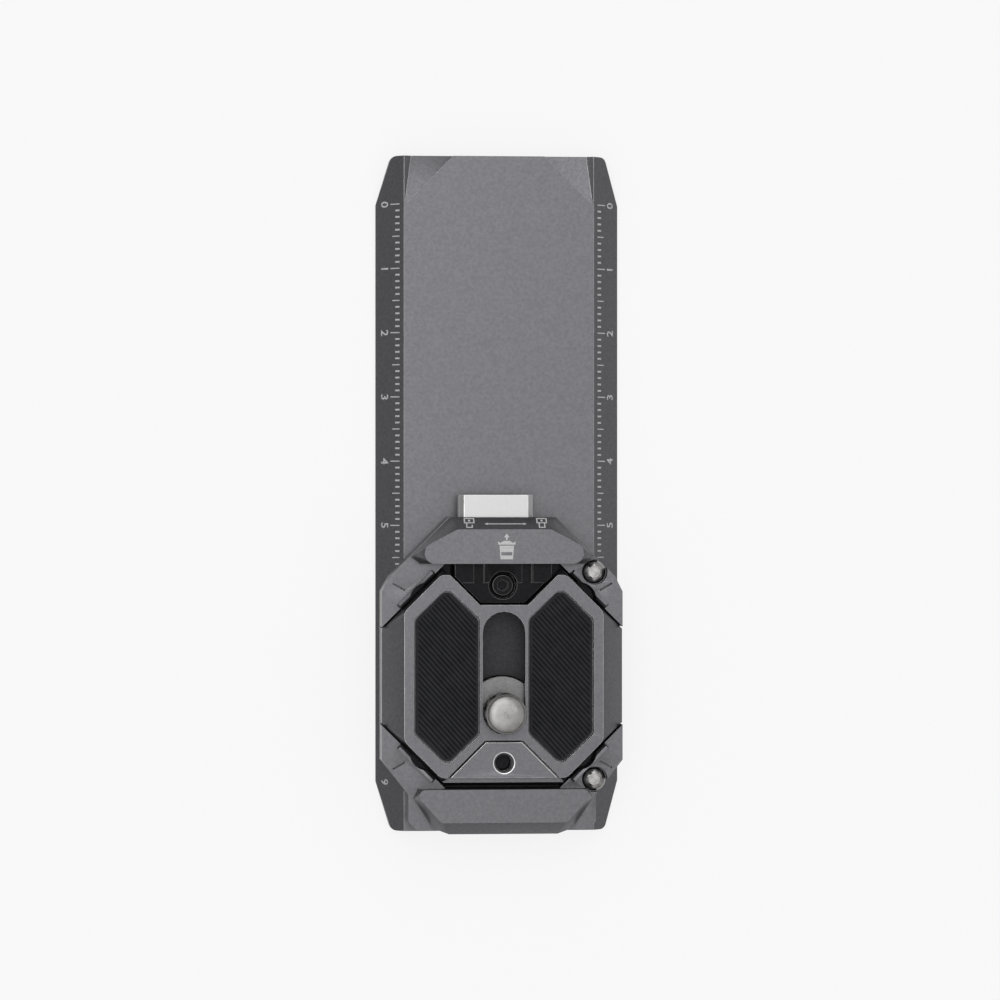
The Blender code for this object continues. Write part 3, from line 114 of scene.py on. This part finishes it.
# Pads
RIB_PITCH = 0.6 * MM
RIB_GROOVE = 0.13 * MM                  # half of a groove's width
RIB_DEPTH = 0.2 * MM
RIB_SLOPE = math.radians(48)
PAD_BORDER = 0.35 * MM
CUT_TOLERANCE = 0.0001 * MM

# Camera screw, with 20 turns to the inch
HEAD_HEIGHT = 2.3 * MM
HEAD_LOWER_EDGE = 0.25 * MM
HEAD_UPPER_EDGE = 0.2 * MM
COIN_SLOT_LENGTH = 3                    # in radii of the head, so that it runs out of both sides
COIN_SLOT_WIDTH = 1.2 * MM
COIN_SLOT_DEPTH = 1.0 * MM
NECK_DEPTH = 0.6 * MM
NECK_LENGTH = 2.7 * MM
STUD_RADIUS = 3.1 * MM
THREAD_PITCH = 1.27 * MM
THREAD_DEPTH = 0.55 * MM
THREAD_FLANK = 1.3                      # above 1 the crests are flat
THREAD_STEPS = 10
SCREW_SIDES = 72
TIP_LENGTH = 0.75 * MM
# Radius of the tip at each depth below its end
TIP_PROFILE = ((STUD_RADIUS, 0.62 * MM), (STUD_RADIUS - 0.25 * MM, 0.28 * MM),
               (STUD_RADIUS - 0.55 * MM, 0.1 * MM), (1.6 * MM, 0.03 * MM), (0.4 * MM, 0.0))
STUD_TONE = 0.27
# Darker tone of the head and neck: painted shade under the plate
HEAD_SHADE_TONE = 0.2
CORNER_SCREW_TONE = 0.33

CAMERA_DISTANCE = 0.70
CAMERA_TILT = math.radians(5.2)
CAMERA_TARGET = Vector((0.0006, -0.00105, 0.0))
CAMERA_LENS = 160.7
CAMERA_SENSOR = 36
CAMERA_CLIP = 0.01

# The floor glows like a light table, which keeps it even and nearly free of shadow.
FLOOR_SIZE = 6
FLOOR_DROP = 0.05 * MM
FLOOR_TONE = 0.12
FLOOR_GLOW = 0.815

# Sky: sine of the height where it starts and stops getting brighter
HORIZON = 0.2
HORIZON_TONE = 0.25
ZENITH = 0.9
SKY_STRENGTH = 1.15

# Lights: name, place, diameter and watts
LIGHTS = (("overhead", (-0.15, 0.25, 1.15), 0.8, 3.0),
          ("rear_fill", (-0.3, -0.3, 1.1), 0.5, 0.6))

MADE_APART = ("pad_left", "pad_right", "camera_screw", "latch_spring_left", "latch_spring_right",
              "lock_detent_spring")


# ---------------------------------------------------------------- materials

class Graph:
    """A small helper round one material's node tree."""

    def __init__(self, name):
        self.material = bpy.data.materials.new(name)
        self.material.use_nodes = True
        self.tree = self.material.node_tree
        self.shader = self.tree.nodes["Principled BSDF"]
        self.place = self.add("ShaderNodeTexCoord").outputs["Object"]

    def add(self, kind, **values):
        node = self.tree.nodes.new(kind)
        for key, value in values.items():
            setattr(node, key, value)
        return node

    def link(self, source, target):
        self.tree.links.new(source, target)

    def mapped(self, setting, value):
        """Object coordinates after a Mapping node with one setting changed."""
        mapping = self.add("ShaderNodeMapping")
        mapping.inputs[setting].default_value = value
        self.link(self.place, mapping.inputs["Vector"])
        return mapping.outputs["Vector"]

    def noise(self, scale, detail, where=None):
        node = self.add("ShaderNodeTexNoise")
        node.inputs["Scale"].default_value = scale
        node.inputs["Detail"].default_value = detail
        self.link(where or self.place, node.inputs["Vector"])
        return node.outputs["Fac"]

    def ramp_into(self, socket, source, *stops):
        """Map a value onto colours given as (position, colour) and feed one shader socket."""
        node = self.add("ShaderNodeValToRGB")
        for element, (position, colour) in zip(node.color_ramp.elements, stops):
            element.position = position
            element.color = (*colour, 1)
        self.link(source, node.inputs["Fac"])
        self.link(node.outputs["Color"], self.shader.inputs[socket])

    def bump(self, source, strength, distance):
        node = self.add("ShaderNodeBump")
        node.inputs["Strength"].default_value = strength
        node.inputs["Distance"].default_value = distance
        self.link(source, node.inputs["Height"])
        self.link(node.outputs["Normal"], self.shader.inputs["Normal"])

    def surface(self, **values):
        for name, value in values.items():
            self.shader.inputs[name.replace("_", " ")].default_value = value


def grey(value, warm=0.0):
    """A grey, with warm added to its red and taken from its blue."""
    return (value + warm, value, value - warm)


def blasted(name, dark, light, roughness, metallic):
    """Bead-blasted, anodised aluminium: soft cloudy tone and a very fine grain."""
    graph = Graph(name)
    graph.surface(Metallic=metallic)
    cloud = graph.noise(scale=2300, detail=6)
    graph.ramp_into("Base Color", cloud, (0.32, dark), (0.68, light))
    grain = graph.noise(scale=5200, detail=3)
    graph.ramp_into("Roughness", grain, (0.3, grey(roughness - 0.06)), (0.7, grey(roughness + 0.08)))
    graph.bump(grain, strength=0.22, distance=0.02 * MM)
    return graph.material


def edge_wear_and_highlight(name, tone, roughness):
    """Brighter colour for broken edges: painted highlight along the bevels, with some real wear of
    the anodising as well.
    """
    graph = Graph(name)
    graph.surface(Metallic=0.9, Roughness=roughness)
    wear_and_highlight = graph.noise(scale=900, detail=4)
    graph.ramp_into("Base Color", wear_and_highlight, (0.35, grey(tone * 0.7)), (0.62, grey(tone)))
    return graph.material


def brushed(name, dark, light, roughness, stretch):
    """Metal with fine straight lines along one axis."""
    graph = Graph(name)
    graph.surface(Metallic=1.0)
    lines = graph.noise(scale=2600, detail=3, where=graph.mapped("Scale", stretch))
    graph.ramp_into("Base Color", lines, (0.3, dark), (0.7, light))
    graph.ramp_into("Roughness", lines, (0.3, grey(roughness - 0.05)), (0.7, grey(roughness + 0.08)))
    graph.bump(lines, strength=0.12, distance=0.01 * MM)
    return graph.material


def turned_steel(name, centre, tone):
    """Faced stainless steel with rings round the centre and worn, cloudy gloss."""
    graph = Graph(name)
    graph.surface(Metallic=1.0, Anisotropic=0.75)
    tangent = graph.add("ShaderNodeTangent", direction_type="RADIAL", axis="Z")
    graph.link(tangent.outputs["Tangent"], graph.shader.inputs["Tangent"])
    rings = graph.add("ShaderNodeTexWave", wave_type="RINGS", rings_direction="Z")
    rings.inputs["Scale"].default_value = 900
    rings.inputs["Distortion"].default_value = 0.8
    graph.link(graph.mapped("Location", (-centre.x, -centre.y, 0)), rings.inputs["Vector"])
    cloud = graph.noise(scale=700, detail=4)
    graph.ramp_into("Base Color", cloud, (0.35, grey(tone * 0.72, 0.006)), (0.65, grey(tone, 0.006)))
    graph.ramp_into("Roughness", cloud, (0.3, grey(0.24)), (0.7, grey(0.34)))
    graph.bump(rings.outputs["Fac"], strength=0.2, distance=0.012 * MM)
    return graph.material


def rubber(name):
    """Matt black rubber with a faint moulded grain."""
    graph = Graph(name)
    graph.surface(Metallic=0.0, Specular_IOR_Level=0.2)
    cloud = graph.noise(scale=600, detail=5)
    graph.ramp_into("Base Color", cloud, (0.3, (0.009, 0.009, 0.0105)), (0.7, (0.015, 0.015, 0.0175)))
    grain = graph.noise(scale=6500, detail=2)
    graph.ramp_into("Roughness", grain, (0.3, grey(0.62)), (0.7, grey(0.82)))
    graph.bump(grain, strength=0.35, distance=0.02 * MM)
    return graph.material


def printed(name, tone):
    """Laser-marked lettering: pale, matt and slightly uneven."""
    graph = Graph(name)
    graph.surface(Metallic=0.0, Roughness=0.55)
    speck = graph.noise(scale=3500, detail=3)
    graph.ramp_into("Base Color", speck, (0.3, grey(tone * 0.8)), (0.6, grey(tone)))
    return graph.material


def make_materials():
    """One material for each material slot of the record."""
    return {
        "grey_anodised": blasted("grey_anodised", (0.102, 0.101, 0.109), (0.124, 0.123, 0.131),
                                 0.36, 0.9),
        "black_steel": blasted("black_oxide", (0.003, 0.003, 0.0035), (0.006, 0.006, 0.007),
                               0.4, 0.85),
        "satin_silver": brushed("satin_silver", grey(0.34), grey(0.42), 0.34, (1, 14, 1)),
        "spring_steel": brushed("spring_steel", grey(0.11), grey(0.16), 0.3, (1, 1, 9)),
        "stainless": brushed("stainless", grey(0.22, 0.006), grey(0.31, 0.006), 0.28, (6, 1, 1)),
        "pad_rubber": rubber("pad_rubber"),
    }


MATERIALS = make_materials()
# Brighter colours for broken edges: painted highlight along the bevels, with some wear.
EDGE_OF_SLOT = {"grey_anodised": edge_wear_and_highlight("edge_break", 0.72, 0.28),
                "black_steel": edge_wear_and_highlight("black_edge", 0.12, 0.3),
                "satin_silver": edge_wear_and_highlight("silver_edge", 0.6, 0.2)}
# Near-black seat floor: painted shade at the bottom of the plate's slot.
SEAT_FLOOR_SHADE = blasted("seat_floor", (0.027, 0.027, 0.029), (0.038, 0.038, 0.042), 0.5, 0.7)
MARKING = printed("scale_marking", 0.42)
SYMBOL = printed("symbol_marking", 0.46)


# ---------------------------------------------------------------- shared mesh work

def new_piece(name, mesh, materials, body, slot_name, *replaced):
    """Link a mesh as one piece of a body, in place of the CAD nodes named last."""
    piece = bpy.data.objects.new(name, mesh)
    bpy.context.scene.collection.objects.link(piece)
    mesh.materials.clear()
    for material in materials:
        mesh.materials.append(material)
    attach(piece, body)
    if replaced:
        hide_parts(*replaced)
    return piece


def stand_in(node, mesh, *materials):
    """A piece that is seen in place of one CAD node."""
    return new_piece(node + "_skin", mesh, materials, BODY_OF[node], SLOT_OF[node], node)


def evaluated_mesh(thing):
    """The mesh of an object once its modifiers or curve settings are worked out."""
    depsgraph = bpy.context.evaluated_depsgraph_get()
    return bpy.data.meshes.new_from_object(thing.evaluated_get(depsgraph))


def apply_modifiers(piece):
    mesh = evaluated_mesh(piece)
    piece.modifiers.clear()
    piece.data = mesh


def mesh_of_curve(curve):
    """The mesh of a curve or a text, without the object that it takes to work it out."""
    guide = bpy.data.objects.new(curve.name, curve)
    bpy.context.scene.collection.objects.link(guide)
    mesh = evaluated_mesh(guide)
    bpy.data.objects.remove(guide)
    return mesh


def to_mesh(shape, name):
    mesh = bpy.data.meshes.new(name)
    shape.to_mesh(mesh)
    shape.free()
    return mesh


def solid_mesh(shape, name):
    """The mesh of a finished shape, with every face turned outwards."""
    bmesh.ops.recalc_face_normals(shape, faces=shape.faces)
    return to_mesh(shape, name)


def shade(mesh, angle=SMOOTH_ANGLE):
    """Shade a mesh smooth, except where its faces meet at more than an angle."""
    mesh.polygons.foreach_set("use_smooth", [True] * len(mesh.polygons))
    mesh.set_sharp_from_angle(angle=angle)


def clean_shape(node):
    """A copy of a CAD node's mesh whose flat faces are single faces again."""
    shape = bmesh.new()
    shape.from_mesh(frame["nodes"][node].data)
    bmesh.ops.remove_doubles(shape, verts=shape.verts, dist=MERGE_DISTANCE)
    bmesh.ops.dissolve_limit(shape, angle_limit=FLAT_ANGLE, verts=shape.verts, edges=shape.edges)
    return shape


def refine(node):
    """Stand a copy with broken edges in for a CAD node; the edges' brighter colour is painted
    highlight, with some wear.
    """
    slot_name = SLOT_OF[node]
    base = MATERIALS[slot_name]
    piece = stand_in(node, to_mesh(clean_shape(node), node + "_skin"), base,
                     EDGE_OF_SLOT.get(slot_name, base))
    angle = RAIL_SMOOTH_ANGLE if node == "rail" else SMOOTH_ANGLE
    shade(piece.data, angle)
    bevel = piece.modifiers.new("edges", "BEVEL")
    bevel.width = EDGE_WIDTH.get(node, SMALL_EDGE)
    bevel.segments = EDGE_SEGMENTS
    bevel.limit_method = "ANGLE"
    bevel.angle_limit = min(EDGE_ANGLE, angle)
    # The bevel's faces take the second, brighter material: painted highlight along the edge, with
    # some wear.
    bevel.material = 1
    bevel.harden_normals = True
    apply_modifiers(piece)
    return piece


def paint_seat_floor_shade(piece):
    """The floor of the seat, seen through the plate's slot, gets a near-black colour: painted shade
    at the bottom of the slot.
    """
    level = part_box("camera_plate")[0].z
    index = len(piece.data.materials)
    piece.data.materials.append(SEAT_FLOOR_SHADE)
    for face in piece.data.polygons:
        if face.normal.z > FACES_UP and abs(face.center.z - level) < SEAT_SEARCH:
            face.material_index = index


# ---------------------------------------------------------------- springs

def coil_spring(node, axis, turns, wire):
    """A round-wire compression spring with closed ends, inside its CAD coil's box."""
    low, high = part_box(node)
    middle = (low + high) / 2
    along = (high - low)[axis] - 2 * wire
    side = [k for k in range(3) if k != axis]
    radius = (high - low)[side[0]] / 2 - wire
    count = turns * COIL_STEPS
    curve = bpy.data.curves.new(node + "_path", "CURVE")
    curve.dimensions = "3D"
    curve.bevel_depth = wire
    curve.bevel_resolution = COIL_WIRE_STEPS
    curve.use_fill_caps = True
    spline = curve.splines.new("POLY")
    spline.points.add(count)
    for i, point in enumerate(spline.points):
        share = i / count
        angle = math.tau * i / COIL_STEPS
        eased = share - COIL_CLOSING * math.sin(math.tau * share) / math.tau
        place = [0, 0, 0]
        place[axis] = low[axis] + wire + along * eased
        place[side[0]] = middle[side[0]] + radius * math.cos(angle)
        place[side[1]] = middle[side[1]] + radius * math.sin(angle)
        point.co = (*place, 1)
    mesh = mesh_of_curve(curve)
    shade(mesh)
    return stand_in(node, mesh, MATERIALS["spring_steel"])


def make_springs():
    """Each latch spring gets a mesh of its own; in the rail they shorten as the latch is drawn, and
    the detent's spring doesn't move.
    """
    for node in ("latch_spring_left", "latch_spring_right"):
        piece = coil_spring(node, 1, LATCH_SPRING_TURNS, LATCH_SPRING_WIRE)
        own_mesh(piece)
    coil_spring("lock_detent_spring", 2, DETENT_TURNS, DETENT_WIRE)


# ---------------------------------------------------------------- outlines of marks

def rectangle(u0, u1, v0, v1):
    return [(u0, v0), (u1, v0), (u1, v1), (u0, v1)]


def trapezoid(u, v0, half0, v1, half1):
    """A shape centred on u whose half width goes from half0 at v0 to half1 at v1."""
    return [(u - half0, v0), (u + half0, v0), (u + half1, v1), (u - half1, v1)]


def ring_strips(u0, u1, v0, v1, line):
    """The four strips of a rectangular outline."""
    return [rectangle(u0, u1, v0, v0 + line), rectangle(u0, u1, v1 - line, v1),
            rectangle(u0, u0 + line, v0 + line, v1 - line),
            rectangle(u1 - line, u1, v0 + line, v1 - line)]


def padlock(u, opened):
    """Outlines of a padlock seen upside down; an open one has a shackle short on one side."""
    line = 0.2
    half_body = 0.82
    body_end = -0.02
    body_top = 1.1
    half_hole = 0.17
    hole_low = 0.38
    hole_high = 0.72
    half_shackle = 0.52
    shackle_end = -1.0
    free_end = -0.35 if opened else body_end
    leg = shackle_end + line
    return ring_strips(u - half_body, u + half_body, body_end, body_top, line) + [
        rectangle(u - half_hole, u + half_hole, hole_low, hole_high),
        rectangle(u - half_shackle, u + half_shackle, shackle_end, leg),
        rectangle(u - half_shackle, u - half_shackle + line, leg, body_end),
        rectangle(u + half_shackle - line, u + half_shackle, leg, free_end)]


def slide_arrow(u0, u1, v):
    """A double-ended arrow from u0 to u1."""
    half_line = 0.09
    head = 0.5
    half_head = 0.26
    return [rectangle(u0 + head, u1 - head, v - half_line, v + half_line),
            [(u0, v), (u0 + head, v - half_head), (u0 + head, v + half_head)],
            [(u1, v), (u1 - head, v + half_head), (u1 - head, v - half_head)]]


def camera_symbol(u, v):
    """A plain camera mark with an arrow ahead of it."""
    base = v - 1.9
    window_low = v - 1.3
    window_high = v - 0.8
    shoulder = v + 0.2
    arrow_low = v + 1.1
    arrow_head = v + 1.5
    arrow_tip = v + 2.05
    half_window = 0.86
    half_body = 1.02
    cap = [(1.3, 0.35), (1.4, 0.85), (0.95, 0.62), (0.45, 0.95)]
    return [trapezoid(u, base, 0.95, window_low, half_body),
            rectangle(u - half_body, u - half_window, window_low, window_high),
            rectangle(u + half_window, u + half_body, window_low, window_high),
            trapezoid(u, window_high, 1.04, shoulder, 1.12),
            [(u + x, v + y) for x, y in cap] + [(u - x, v + y) for x, y in reversed(cap)],
            rectangle(u - 0.14, u + 0.14, arrow_low, arrow_head),
            [(u - 0.42, arrow_head), (u + 0.42, arrow_head), (u, arrow_tip)]]


# ---------------------------------------------------------------- markings

def prism_into(shape, outline, place):
    """Add a flat outline in millimetres, as a thin solid, to a mesh under construction."""
    low, high = [[shape.verts.new(place @ Vector((u, v, level))) for u, v in outline]
                 for level in (MARK_LIFT, MARK_LIFT + MARK_THICKNESS)]
    shape.faces.new(high)
    shape.faces.new(low[::-1])
    for i, corner in enumerate(low):
        ahead = (i + 1) % len(low)
        shape.faces.new((corner, low[ahead], high[ahead], high[i]))


def surface_frame(origin, right, up, out):
    """Matrix from millimetres on a surface to metres in the frame."""
    turn = Matrix([axis.normalized() for axis in (right, up, out)]).transposed().to_4x4()
    return Matrix.Translation(origin) @ turn @ Matrix.Scale(MM, 4)


def flank_frame(side):
    """Frame on a rail flank: u runs down the slope from its top edge, v along +Y.

    Its out axis points away from the rail on both sides, so the left flank's frame is mirrored.
    """
    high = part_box("rail")[1]
    edge = side * (high.x - (high.z - RAIL_LAND))
    return surface_frame((edge, 0, high.z), Vector((side, 0, -1)), Vector((0, 1, 0)),
                         Vector((side, 0, 1)))


def bar_frames():
    """Frames on the front bar: its 45 degree front band and its top face, u across and v ahead."""
    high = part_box("receiver_body")[1]
    across = Vector((1, 0, 0))
    half = BAR_CHAMFER / 2
    band = surface_frame((0, high.y - half, high.z - half), across, Vector((0, 1, -1)),
                         Vector((0, 1, 1)))
    face = surface_frame((0, high.y - BAR_CHAMFER, high.z), across, Vector((0, 1, 0)),
                         Vector((0, 0, 1)))
    return band, face


def digit_mesh(text):
    """A digit as a flat mesh, one unit high, centred on its own middle."""
    curve = bpy.data.curves.new("digit", "FONT")
    curve.body = text
    curve.resolution_u = DIGIT_CURVE_STEPS
    curve.offset = DIGIT_WEIGHT
    mesh = mesh_of_curve(curve)
    xs = [vert.co.x for vert in mesh.vertices]
    ys = [vert.co.y for vert in mesh.vertices]
    size = max(ys) - min(ys)
    middle = Vector(((max(xs) + min(xs)) / 2, (max(ys) + min(ys)) / 2, 0))
    mesh.transform(Matrix.Scale(1 / size, 4) @ Matrix.Translation(-middle))
    return mesh


def add_digit(shape, text, place):
    """Add one digit, given a thickness, to a mesh under construction."""
    mesh = digit_mesh(text)
    digit = bmesh.new()
    digit.from_mesh(mesh)
    bmesh.ops.remove_doubles(digit, verts=digit.verts, dist=DIGIT_MERGE)
    made = bmesh.ops.extrude_face_region(digit, geom=digit.faces[:])
    thickness = Vector((0, 0, MARK_THICKNESS / DIGIT_HEIGHT))
    for vert in made["geom"]:
        if isinstance(vert, bmesh.types.BMVert):
            vert.co += thickness
    bmesh.ops.recalc_face_normals(digit, faces=digit.faces)
    digit.transform(place)
    digit.to_mesh(mesh)
    digit.free()
    shape.from_mesh(mesh)
    bpy.data.meshes.remove(mesh)


def tick_kind(step):
    """10 for a centimetre, 5 for half of one, and 1 for any other millimetre."""
    for kind in (10, 5):
        if step % kind == 0:
            return kind
    return 1


def make_scale(side, word):
    """Millimetre ticks and centimetre numbers along one flank; the last number is on one only."""
    shape = bmesh.new()
    place = flank_frame(side)
    # The scale by side undoes the mirroring of the left flank's frame.
    upright = (Matrix.Scale(side, 4, (0, 1, 0)) @ Matrix.Rotation(math.radians(90), 4, "Z")
               @ Matrix.Scale(DIGIT_HEIGHT, 4))
    start = TICK_START * SLOPE_LENGTH
    for step in range(SCALE_LAST + 1):
        along = SCALE_ZERO - step
        kind = tick_kind(step)
        half = (SHORT_TICK_WIDTH if kind == 1 else TICK_WIDTH) / 2
        if step < SCALE_LAST:
            end = start + TICK_LENGTHS[kind] * SLOPE_LENGTH
            prism_into(shape, rectangle(start, end, along - half, along + half), place)
        if kind == 10 and (side < 0 or step < SCALE_LAST):
            spot = Matrix.Translation((DIGIT_CENTRE * SLOPE_LENGTH, along, MARK_LIFT))
            add_digit(shape, str(step // 10), place @ spot @ upright)
    name = "scale_" + word
    new_piece(name, solid_mesh(shape, name), [MARKING], "base", "grey_anodised")


def make_symbols():
    """Lock and unlock marks on the front band, and a camera mark on the bar's top face."""
    band, face = bar_frames()
    shape = bmesh.new()
    on_band = padlock(OPEN_LOCK_AT, True) + padlock(SHUT_LOCK_AT, False) + slide_arrow(*SLIDE_ARROW)
    for outline in on_band:
        prism_into(shape, outline, band)
    for outline in camera_symbol(*CAMERA_SYMBOL_AT):
        prism_into(shape, outline, face)
    new_piece("symbols", solid_mesh(shape, "symbols"), [SYMBOL], "base", "grey_anodised")


# ---------------------------------------------------------------- pads

def unique(items):
    """The items in their first order, each once."""
    return list(dict.fromkeys(items))


def make_pad(node):
    """A rubber pad whose top is moulded in fine slanting ribs inside a plain border."""
    shape = clean_shape(node)
    top = max(shape.faces, key=lambda face: face.calc_center_median().z)
    middle = top.calc_center_median()
    reach = max((vert.co - middle).length for vert in top.verts)
    bmesh.ops.inset_individual(shape, faces=[top], thickness=PAD_BORDER)
    rim = set(top.verts)
    across = Vector((math.sin(RIB_SLOPE), math.cos(RIB_SLOPE), 0))
    count = int(reach / RIB_PITCH)
    cuts = [(step, edge) for step in range(-count, count + 1) for edge in (-1, 0, 1)]
    field = [top]
    grooves = []
    for step, edge in cuts:
        point = middle + across * (step * RIB_PITCH + edge * RIB_GROOVE)
        geom = (field + unique(side for face in field for side in face.edges)
                + unique(vert for face in field for vert in face.verts))
        cut = bmesh.ops.bisect_plane(shape, geom=geom, dist=CUT_TOLERANCE, plane_co=point,
                                     plane_no=across)
        field = [face for face in cut["geom"] if isinstance(face, bmesh.types.BMFace)]
        if edge == 0:
            grooves += [vert for vert in cut["geom_cut"] if isinstance(vert, bmesh.types.BMVert)]
    for vert in grooves:
        if vert not in rim:
            vert.co.z = middle.z - RIB_DEPTH
    stand_in(node, solid_mesh(shape, node + "_skin"), MATERIALS["pad_rubber"])


# ---------------------------------------------------------------- camera screw

def ring_at(shape, centre, level, radius_at):
    """A ring of points whose radius is given for each share of a turn."""
    ring = []
    for k in range(SCREW_SIDES):
        turn = k / SCREW_SIDES
        angle = math.tau * turn
        radius = radius_at(turn)
        ring.append(shape.verts.new((centre.x + radius * math.cos(angle),
                                     centre.y + radius * math.sin(angle), level)))
    return ring


def round_ring(shape, centre, level, radius):
    return ring_at(shape, centre, level, lambda turn: radius)


def bridge(shape, lower, upper):
    """A band of faces between two rings with the same number of points."""
    count = len(lower)
    for k in range(count):
        ahead = (k + 1) % count
        shape.faces.new((lower[k], lower[ahead], upper[ahead], upper[k]))


def thread_rings(shape, centre, start, end):
    """The helical thread, which fades in over a turn and out over half of one."""
    length = end - start
    levels = int(length / THREAD_PITCH * THREAD_STEPS)
    rings = []
    for step in range(1, levels + 1):
        rise = length * step / levels
        fade = max(0.0, min(1.0, rise / THREAD_PITCH, (length - rise) / THREAD_PITCH * 2))

        def radius_at(turn):
            phase = (rise / THREAD_PITCH - turn) % 1.0
            crest = min(1.0, abs(phase * 2 - 1) * THREAD_FLANK)
            return STUD_RADIUS - THREAD_DEPTH * (1 - crest) * fade

        rings.append(ring_at(shape, centre, start + rise, radius_at))
    return rings


def make_camera_screw():
    """Wide slotted head, plain neck and a threaded stud with a turned, domed tip."""
    low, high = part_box("camera_screw")
    centre = (low + high) / 2
    head_radius = (high.x - low.x) / 2
    neck_radius = STUD_RADIUS - NECK_DEPTH
    head_top = low.z + HEAD_HEIGHT
    thread_start = head_top + NECK_LENGTH
    below = ((head_radius - HEAD_LOWER_EDGE, low.z), (head_radius, low.z + HEAD_LOWER_EDGE),
             (head_radius, head_top - HEAD_UPPER_EDGE), (head_radius - HEAD_UPPER_EDGE, head_top),
             (neck_radius, head_top), (neck_radius, thread_start))
    tip = ((radius, high.z - drop) for radius, drop in TIP_PROFILE)
    shape = bmesh.new()
    rings = [round_ring(shape, centre, level, radius) for radius, level in below]
    rings += thread_rings(shape, centre, thread_start, high.z - TIP_LENGTH)
    rings += [round_ring(shape, centre, level, radius) for radius, level in tip]
    for lower, upper in zip(rings, rings[1:]):
        bridge(shape, lower, upper)
    shape.faces.new(rings[-1])
    shape.faces.new(rings[0][::-1])
    piece = stand_in("camera_screw", solid_mesh(shape, "camera_screw_skin"),
                     turned_steel("faced_steel", centre, STUD_TONE),
                     turned_steel("head_steel_shaded", centre, HEAD_SHADE_TONE))
    cut_coin_slot(piece, centre, low.z, head_radius)
    # The head and neck, under the plate, take the darker copy of the steel: painted shade.
    for face in piece.data.polygons:
        face.material_index = 1 if face.center.z < thread_start else 0
    shade(piece.data)


def cut_coin_slot(piece, centre, base, reach):
    """A straight slot right across the underside of the head, cut by a box half below it."""
    shape = bmesh.new()
    bmesh.ops.create_cube(shape, size=1)
    size = (reach * COIN_SLOT_LENGTH, COIN_SLOT_WIDTH, COIN_SLOT_DEPTH * 2)
    bmesh.ops.scale(shape, verts=shape.verts, vec=size)
    bmesh.ops.translate(shape, verts=shape.verts, vec=(centre.x, centre.y, base))
    tool = bpy.data.objects.new("coin_slot", to_mesh(shape, "coin_slot"))
    bpy.context.scene.collection.objects.link(tool)
    cut = piece.modifiers.new("slot", "BOOLEAN")
    cut.operation = "DIFFERENCE"
    cut.solver = "EXACT"
    cut.object = tool
    apply_modifiers(piece)
    bpy.data.objects.remove(tool)


# ---------------------------------------------------------------- stage

def make_floor():
    bpy.ops.mesh.primitive_plane_add(size=FLOOR_SIZE, location=(0, 0, -FLOOR_DROP))
    floor = bpy.context.object
    floor.name = "floor"
    graph = Graph("pale_floor")
    graph.surface(Roughness=0.9, Metallic=0.0, Specular_IOR_Level=0.0,
                  Base_Color=(*grey(FLOOR_TONE), 1), Emission_Color=(*grey(1.0), 1),
                  Emission_Strength=FLOOR_GLOW)
    floor.data.materials.append(graph.material)


def make_world():
    """Bright overhead, darker towards the horizon, so that slopes read darker than tops."""
    world = bpy.data.worlds.new("studio")
    bpy.context.scene.world = world
    world.use_nodes = True
    tree = world.node_tree
    where = tree.nodes.new("ShaderNodeTexCoord")
    split = tree.nodes.new("ShaderNodeSeparateXYZ")
    ramp = tree.nodes.new("ShaderNodeValToRGB")
    tree.links.new(where.outputs["Generated"], split.inputs["Vector"])
    tree.links.new(split.outputs["Z"], ramp.inputs["Fac"])
    stops = ((HORIZON, HORIZON_TONE), (ZENITH, 1.0))
    for element, (position, tone) in zip(ramp.color_ramp.elements, stops):
        element.position = position
        element.color = (*grey(tone), 1)
    tree.links.new(ramp.outputs["Color"], tree.nodes["Background"].inputs["Color"])
    tree.nodes["Background"].inputs["Strength"].default_value = SKY_STRENGTH
    bpy.context.scene.view_settings.view_transform = "Standard"


def make_light(name, place, size, watts):
    """A round area light aimed at the middle of the rail."""
    data = bpy.data.lights.new(name, "AREA")
    data.shape = "DISK"
    data.size = size
    data.energy = watts
    light = bpy.data.objects.new(name, data)
    bpy.context.scene.collection.objects.link(light)
    light.location = place
    light.rotation_euler = (-Vector(place)).to_track_quat("-Z", "Y").to_euler()


def make_camera():
    """Straight above, leaning a little to the -X side, with +Y up in the picture."""
    data = bpy.data.cameras.new("camera")
    data.lens = CAMERA_LENS
    data.sensor_width = CAMERA_SENSOR
    data.clip_start = CAMERA_CLIP
    camera = bpy.data.objects.new("camera", data)
    bpy.context.scene.collection.objects.link(camera)
    lean = Matrix.Rotation(-CAMERA_TILT, 4, "Y")
    camera.matrix_world = (Matrix.Translation(CAMERA_TARGET) @ lean
                           @ Matrix.Translation((0, 0, CAMERA_DISTANCE)))
    bpy.context.scene.camera = camera


def make_plain_pieces():
    """Every piece whose shape is the CAD's own, with its edges broken."""
    for node in frame["nodes"]:
        if node in MADE_APART:
            continue
        piece = refine(node)
        if node.startswith("corner_screw"):
            low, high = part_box(node)
            steel = turned_steel(node + "_steel", (low + high) / 2, CORNER_SCREW_TONE)
            piece.data.materials[0] = steel
        if node == "receiver_body":
            paint_seat_floor_shade(piece)


def build():
    make_plain_pieces()
    make_springs()
    make_pad("pad_left")
    make_pad("pad_right")
    make_camera_screw()
    make_scale(-1, "left")
    make_scale(1, "right")
    make_symbols()
    make_floor()
    make_world()
    for light in LIGHTS:
        make_light(*light)
    make_camera()


build()
